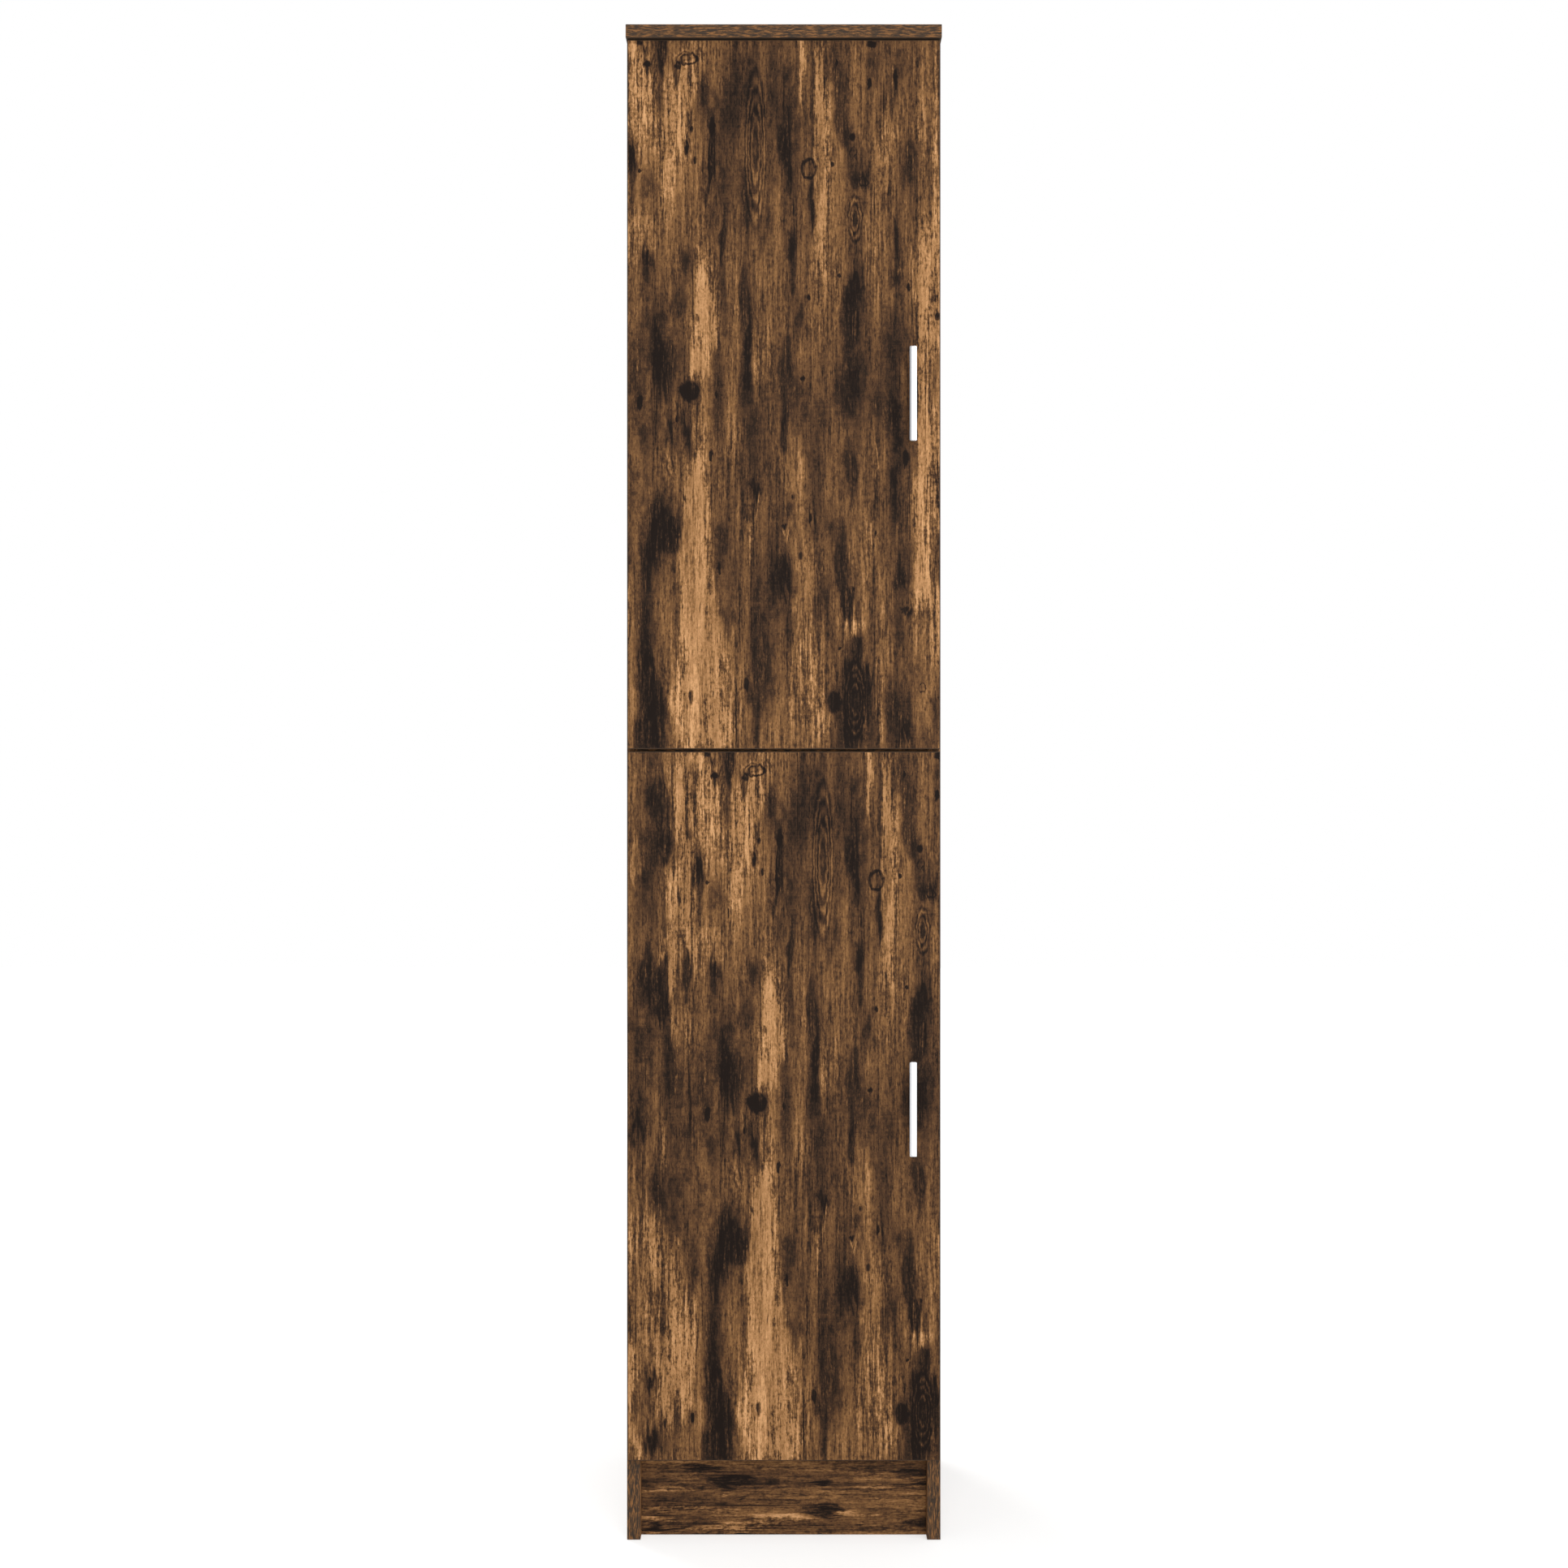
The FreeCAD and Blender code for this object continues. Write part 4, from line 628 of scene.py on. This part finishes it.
class CUPBOARD_OT_backs(bpy.types.Operator):
    """Give the back boards raw hardboard behind and brown print inside"""
    bl_idname = "cupboard.backs"
    bl_label = "Back boards"

    def execute(self, context):
        # Hardboard, wood fibre pressed wet on a wire screen and papered inside: the oak print towards the
        # shelves, clumps of fibre and a fine square mesh behind.
        board = context.scene.cupboard_boards
        material = oak_board("hardboard_screen_pressed", (0, 2, 1), 1)
        tree = material.node_tree
        shader = next(node for node in tree.nodes if node.type == "BSDF_PRINCIPLED")
        where = put(tree, "TexCoord").outputs
        behind = put(tree, "SeparateXYZ", {0: where["Normal"]}).outputs[1]
        behind = put(tree, "Math", {0: behind, 1: 0.5}, operation="GREATER_THAN").outputs[0]
        place = put(tree, "VectorMath", {0: where["Object"], "Scale": 1 / board.clump},
                    operation="SCALE").outputs[0]
        clumps = put(tree, "TexNoise", {"Vector": place, "Scale": 1.0, "Detail": 6.0,
                                        "Roughness": 0.7}).outputs[0]
        ramp = put(tree, "ValToRGB", {0: clumps})
        ramp.color_ramp.elements[0].position = 0.3
        ramp.color_ramp.elements[0].color = board.hardboard_dark
        ramp.color_ramp.elements[1].position = 0.7
        ramp.color_ramp.elements[1].color = board.hardboard
        printed = shader.inputs["Base Color"].links[0].from_socket
        paint = put(tree, "Mix", {0: behind, 6: printed, 7: ramp.outputs[0]}, data_type="RGBA").outputs[2]
        tree.links.new(paint, shader.inputs["Base Color"])
        height = clumps
        wires = 2.0 * math.pi / WAVE_RADIANS * board.clump / board.mesh_pitch
        for direction in ("X", "Z"):
            mesh = put(tree, "TexWave", {"Vector": place, "Scale": wires}, wave_type="BANDS",
                       bands_direction=direction).outputs["Fac"]
            height = put(tree, "Math", {0: mesh, 1: 0.3, 2: height}, operation="MULTIPLY_ADD").outputs[0]
        height = put(tree, "Math", {0: height, 1: behind}, operation="MULTIPLY").outputs[0]
        pores = shader.inputs["Normal"].links[0].from_socket
        bump = put(tree, "Bump", {"Height": height, "Distance": board.mesh_depth, "Strength": 0.5,
                                  "Normal": pores}).outputs[0]
        tree.links.new(bump, shader.inputs["Normal"])
        rough = put(tree, "MapRange", {0: clumps, 3: 0.9, 4: 0.7}).outputs[0]
        gloss = shader.inputs["Roughness"].links[0].from_socket
        gloss = put(tree, "Mix", {0: behind, 2: gloss, 3: rough}).outputs[0]
        tree.links.new(gloss, shader.inputs["Roughness"])
        finish_nodes(material, ("upper_back_panel", "lower_back_panel"))
        return {"FINISHED"}


def worn_metal(name, paint, base, spread, size, depth, roughness):
    """A metal whose roughness and shade vary with marks of the given size, stretched by spread. base is the
    shade of the darkest marks and depth their depth in millimetres."""
    material, tree, shader = new_material(name)
    scale = tuple(s / size for s in spread)
    place = put(tree, "VectorMath", {0: put(tree, "TexCoord").outputs["Object"], 1: scale},
                operation="MULTIPLY").outputs[0]
    marks = put(tree, "TexNoise", {"Vector": place, "Scale": 1.0, "Detail": 3.0, "Roughness": 0.6}).outputs[0]
    shade = put(tree, "MapRange", {0: marks, 1: 0.25, 2: 0.75, 3: base, 4: 1.0}).outputs[0]
    tint = put(tree, "VectorMath", {0: paint[:3], "Scale": shade}, operation="SCALE").outputs[0]
    tree.links.new(tint, shader.inputs["Base Color"])
    rough = put(tree, "MapRange", {0: marks, 1: 0.25, 2: 0.75, 3: roughness[0], 4: roughness[1]}).outputs[0]
    tree.links.new(rough, shader.inputs["Roughness"])
    relief = put(tree, "Bump", {"Height": marks, "Distance": depth / MM, "Strength": 0.4}).outputs[0]
    tree.links.new(relief, shader.inputs["Normal"])
    shader.inputs["Metallic"].default_value = 1.0
    return material


class CUPBOARD_OT_handles(bpy.types.Operator):
    """Give the bar handles a satin nickel finish, brushed along their length"""
    bl_idname = "cupboard.handles"
    bl_label = "Handles"

    def execute(self, context):
        # Die-cast zinc, satin nickel plated and brushed lengthwise: pale silver with soft long lines.
        metal = context.scene.cupboard_metal
        material = worn_metal("satin_nickel_brushed", metal.nickel, 0.9, (1, 1, 0.02), metal.brush_width,
                              0.02, (0.3, 0.42))
        finish_nodes(material, ("upper_handle", "lower_handle"))
        return {"FINISHED"}


class CUPBOARD_OT_hinges(bpy.types.Operator):
    """Give the cup hinges their nickel plate"""
    bl_idname = "cupboard.hinges"
    bl_label = "Hinges"

    def execute(self, context):
        # Pressed steel, nickel plated: a warm grey mirror dulled by fine drawing lines.
        metal = context.scene.cupboard_metal
        material = worn_metal("nickel_plated_pressed_steel", metal.hinge, 0.82, (1, 0.3, 1), metal.grit,
                              0.03, (0.32, 0.48))
        finish_nodes(material, [
            door + "_" + place + "_" + piece for door in ("upper", "lower") for place in ("low", "high")
            for piece in ("hinge_cup", "outer_link", "inner_link", "hinge_arm", "mounting_plate")])
        return {"FINISHED"}


class CUPBOARD_OT_fittings(bpy.types.Operator):
    """Give the cams, bolts, screws, nails, brackets and dowels their finishes"""
    bl_idname = "cupboard.fittings"
    bl_label = "Fittings"

    def execute(self, context):
        metal = context.scene.cupboard_metal
        # Die-cast zinc, tumbled: dull grey with a grainy skin.
        zinc = worn_metal("zinc_die_cast_tumbled", metal.zinc, 0.75, (1, 1, 1), metal.grit, 0.06,
                          (0.45, 0.6))
        finish_nodes(zinc, ("cam_locks",))
        # Steel, zinc plated in a barrel: bright bluish grey with small dull marks.
        steel = worn_metal("zinc_plated_steel", metal.steel, 0.8, (1, 1, 1), metal.grit, 0.03, (0.25, 0.42))
        finish_nodes(steel, ["shelf_pins", "cam_bolts", "back_nails", "wall_brackets", "bracket_screws"] + [
            door + "_" + piece for door in ("upper", "lower")
            for piece in ("handle_screws", "cup_screws", "cup_pins", "arm_pins", "plate_screws",
                          "arm_screws")])
        # Beech, turned and grooved: pink-buff with short darker flecks along the grain.
        board = context.scene.cupboard_boards
        beech, tree, shader = new_material("beech_turned")
        place = put(tree, "VectorMath", {0: put(tree, "TexCoord").outputs["Object"],
                                         "Scale": 1 / board.beech_grain}, operation="SCALE").outputs[0]
        flecks = put(tree, "TexNoise", {"Vector": place, "Scale": 1.0, "Detail": 4.0}).outputs[0]
        ramp = put(tree, "ValToRGB", {0: flecks})
        ramp.color_ramp.elements[0].position = 0.35
        ramp.color_ramp.elements[0].color = board.beech_fleck
        ramp.color_ramp.elements[1].position = 0.6
        ramp.color_ramp.elements[1].color = board.beech
        tree.links.new(ramp.outputs[0], shader.inputs["Base Color"])
        shader.inputs["Roughness"].default_value = 0.6
        finish_nodes(beech, ("wood_dowels",))
        return {"FINISHED"}


class CUPBOARD_OT_stage(bpy.types.Operator):
    """Set the white studio: floor, lamps, world and camera"""
    bl_idname = "cupboard.stage"
    bl_label = "Studio"

    def execute(self, context):
        stage = context.scene.cupboard_stage
        scene = context.scene
        scene.view_settings.view_transform = "Standard"
        reach = stage.floor_reach
        mesh = bpy.data.meshes.new("studio_floor")
        mesh.from_pydata([(-reach, -reach, 0), (reach, -reach, 0), (reach, reach, 0), (-reach, reach, 0)], [],
                         [(0, 1, 2, 3)])
        floor = bpy.data.objects.new("studio_floor", mesh)
        floor.location.z = -stage.floor_drop
        scene.collection.objects.link(floor)
        # Painted studio floor: matt off-white with a faint roller mottle.
        paint, tree, shader = new_material("studio_floor_matt_paint")
        place = put(tree, "TexCoord").outputs["Object"]
        mottle = put(tree, "TexNoise", {"Vector": place, "Scale": 1 / stage.roller}).outputs[0]
        shade = put(tree, "MapRange", {0: mottle, 3: 0.97, 4: 1.0}).outputs[0]
        tint = put(tree, "VectorMath", {0: stage.floor[:3], "Scale": shade}, operation="SCALE").outputs[0]
        tree.links.new(tint, shader.inputs["Base Color"])
        shader.inputs["Roughness"].default_value = 0.9
        shader.inputs["Specular IOR Level"].default_value = 0.1
        shader.inputs["Emission Color"].default_value = (1, 1, 1, 1)
        # The floor keeps the shadow near the cupboard and runs out into the white of the backdrop.
        away = put(tree, "VectorMath", {0: place}, operation="LENGTH").outputs["Value"]
        lift = put(tree, "MapRange", {0: away, 1: stage.glow_start, 2: stage.glow_end, 3: stage.floor_glow,
                                      4: 1.0}, interpolation_type="SMOOTHSTEP").outputs[0]
        glow = put(tree, "Math", {0: self.seen(tree), 1: lift}, operation="MULTIPLY").outputs[0]
        tree.links.new(glow, shader.inputs["Emission Strength"])
        mesh.materials.append(paint)
        world = bpy.data.worlds.new("studio_white")
        world.use_nodes = True
        tree = world.node_tree
        tree.nodes.clear()
        # The camera sees plain white all round. Metal sees it too, but dimmer on the side with no lamp.
        side = put(tree, "SeparateXYZ", {0: put(tree, "TexCoord").outputs["Generated"]}).outputs[0]
        shown = put(tree, "MapRange", {0: side, 1: -0.8, 2: 0.0, 3: stage.left_wall, 4: 1.0}).outputs[0]
        shown = put(tree, "Math", {0: shown, 1: put(tree, "LightPath").outputs["Is Camera Ray"]},
                    operation="MAXIMUM").outputs[0]
        level = put(tree, "MapRange", {0: self.seen(tree), 3: stage.ambient, 4: shown}).outputs[0]
        sky = put(tree, "Background", {"Color": (1, 1, 1, 1), "Strength": level})
        put(tree, "OutputWorld", {"Surface": sky.outputs[0]})
        scene.world = world
        # Soft lamps, all turned to the middle of the cupboard: place and size in metres
        aim = Vector((0.0, 0.0, CAD_HIGH.z / 2.0))
        for name, place, size, power in (
            ("front_softbox", (0.6, -4.6, 1.6), 3.2, stage.key),
            ("right_softbox", (3.4, -2.6, 1.5), 2.4, stage.side),
            ("top_softbox", (0.0, -0.9, 4.2), 3.0, stage.over),
            ("rear_softbox", (-2.6, 3.6, 2.4), 2.4, stage.rear),
        ):
            lamp = bpy.data.lights.new(name, "AREA")
            lamp.shape = "SQUARE"
            lamp.size = size
            lamp.energy = power
            holder = bpy.data.objects.new(name, lamp)
            holder.location = place
            holder.rotation_euler = (aim - Vector(place)).to_track_quat("-Z", "Y").to_euler()
            scene.collection.objects.link(holder)
        camera = bpy.data.objects.new("camera", bpy.data.cameras.new("camera"))
        camera.data.lens = stage.lens
        camera.data.sensor_width = stage.sensor
        camera.location = (stage.eye_side, -stage.eye_distance, stage.eye_height)
        camera.rotation_euler = (math.pi / 2.0, 0.0, 0.0)
        scene.collection.objects.link(camera)
        scene.camera = camera
        return {"FINISHED"}

    @staticmethod
    def seen(tree):
        """1 for rays from the camera, mirrors and glass, 0 for the light that falls on things."""
        path = put(tree, "LightPath").outputs
        either = put(tree, "Math", {0: path["Is Camera Ray"], 1: path["Is Glossy Ray"]}, operation="MAXIMUM")
        return put(tree, "Math", {0: either.outputs[0], 1: path["Is Transmission Ray"]},
                   operation="MAXIMUM").outputs[0]


OPERATORS = (
    CUPBOARD_OT_doors, CUPBOARD_OT_carcass, CUPBOARD_OT_backs, CUPBOARD_OT_handles, CUPBOARD_OT_hinges,
    CUPBOARD_OT_fittings, CUPBOARD_OT_stage,
)
SETTINGS = {
    "cupboard_oak": OakSettings, "cupboard_boards": BoardSettings, "cupboard_metal": MetalSettings,
    "cupboard_stage": StageSettings,
}


class CUPBOARD_PT_sidebar(bpy.types.Panel):
    """Sizes, colours and steps of the cupboard"""
    bl_idname = "CUPBOARD_PT_sidebar"
    bl_label = "Smoked oak cupboard"
    bl_space_type = "VIEW_3D"
    bl_region_type = "UI"
    bl_category = "Cupboard"

    def draw(self, context):
        for operator in OPERATORS:
            self.layout.operator(operator.bl_idname)
        for name, settings in SETTINGS.items():
            column = self.layout.box().column()
            column.label(text=settings.__doc__)
            for field in settings.__annotations__:
                column.prop(getattr(context.scene, name), field)


CLASSES = tuple(SETTINGS.values()) + OPERATORS + (CUPBOARD_PT_sidebar,)


def register():
    for cls in CLASSES:
        bpy.utils.register_class(cls)
    for name, settings in SETTINGS.items():
        setattr(bpy.types.Scene, name, PointerProperty(type=settings))


def unregister():
    for name in SETTINGS:
        delattr(bpy.types.Scene, name)
    for cls in reversed(CLASSES):
        bpy.utils.unregister_class(cls)


def main():
    register()
    bpy.ops.cupboard.doors()
    bpy.ops.cupboard.carcass()
    bpy.ops.cupboard.backs()
    bpy.ops.cupboard.handles()
    bpy.ops.cupboard.hinges()
    bpy.ops.cupboard.fittings()
    bpy.ops.cupboard.stage()


if __name__ == "__main__":
    main()
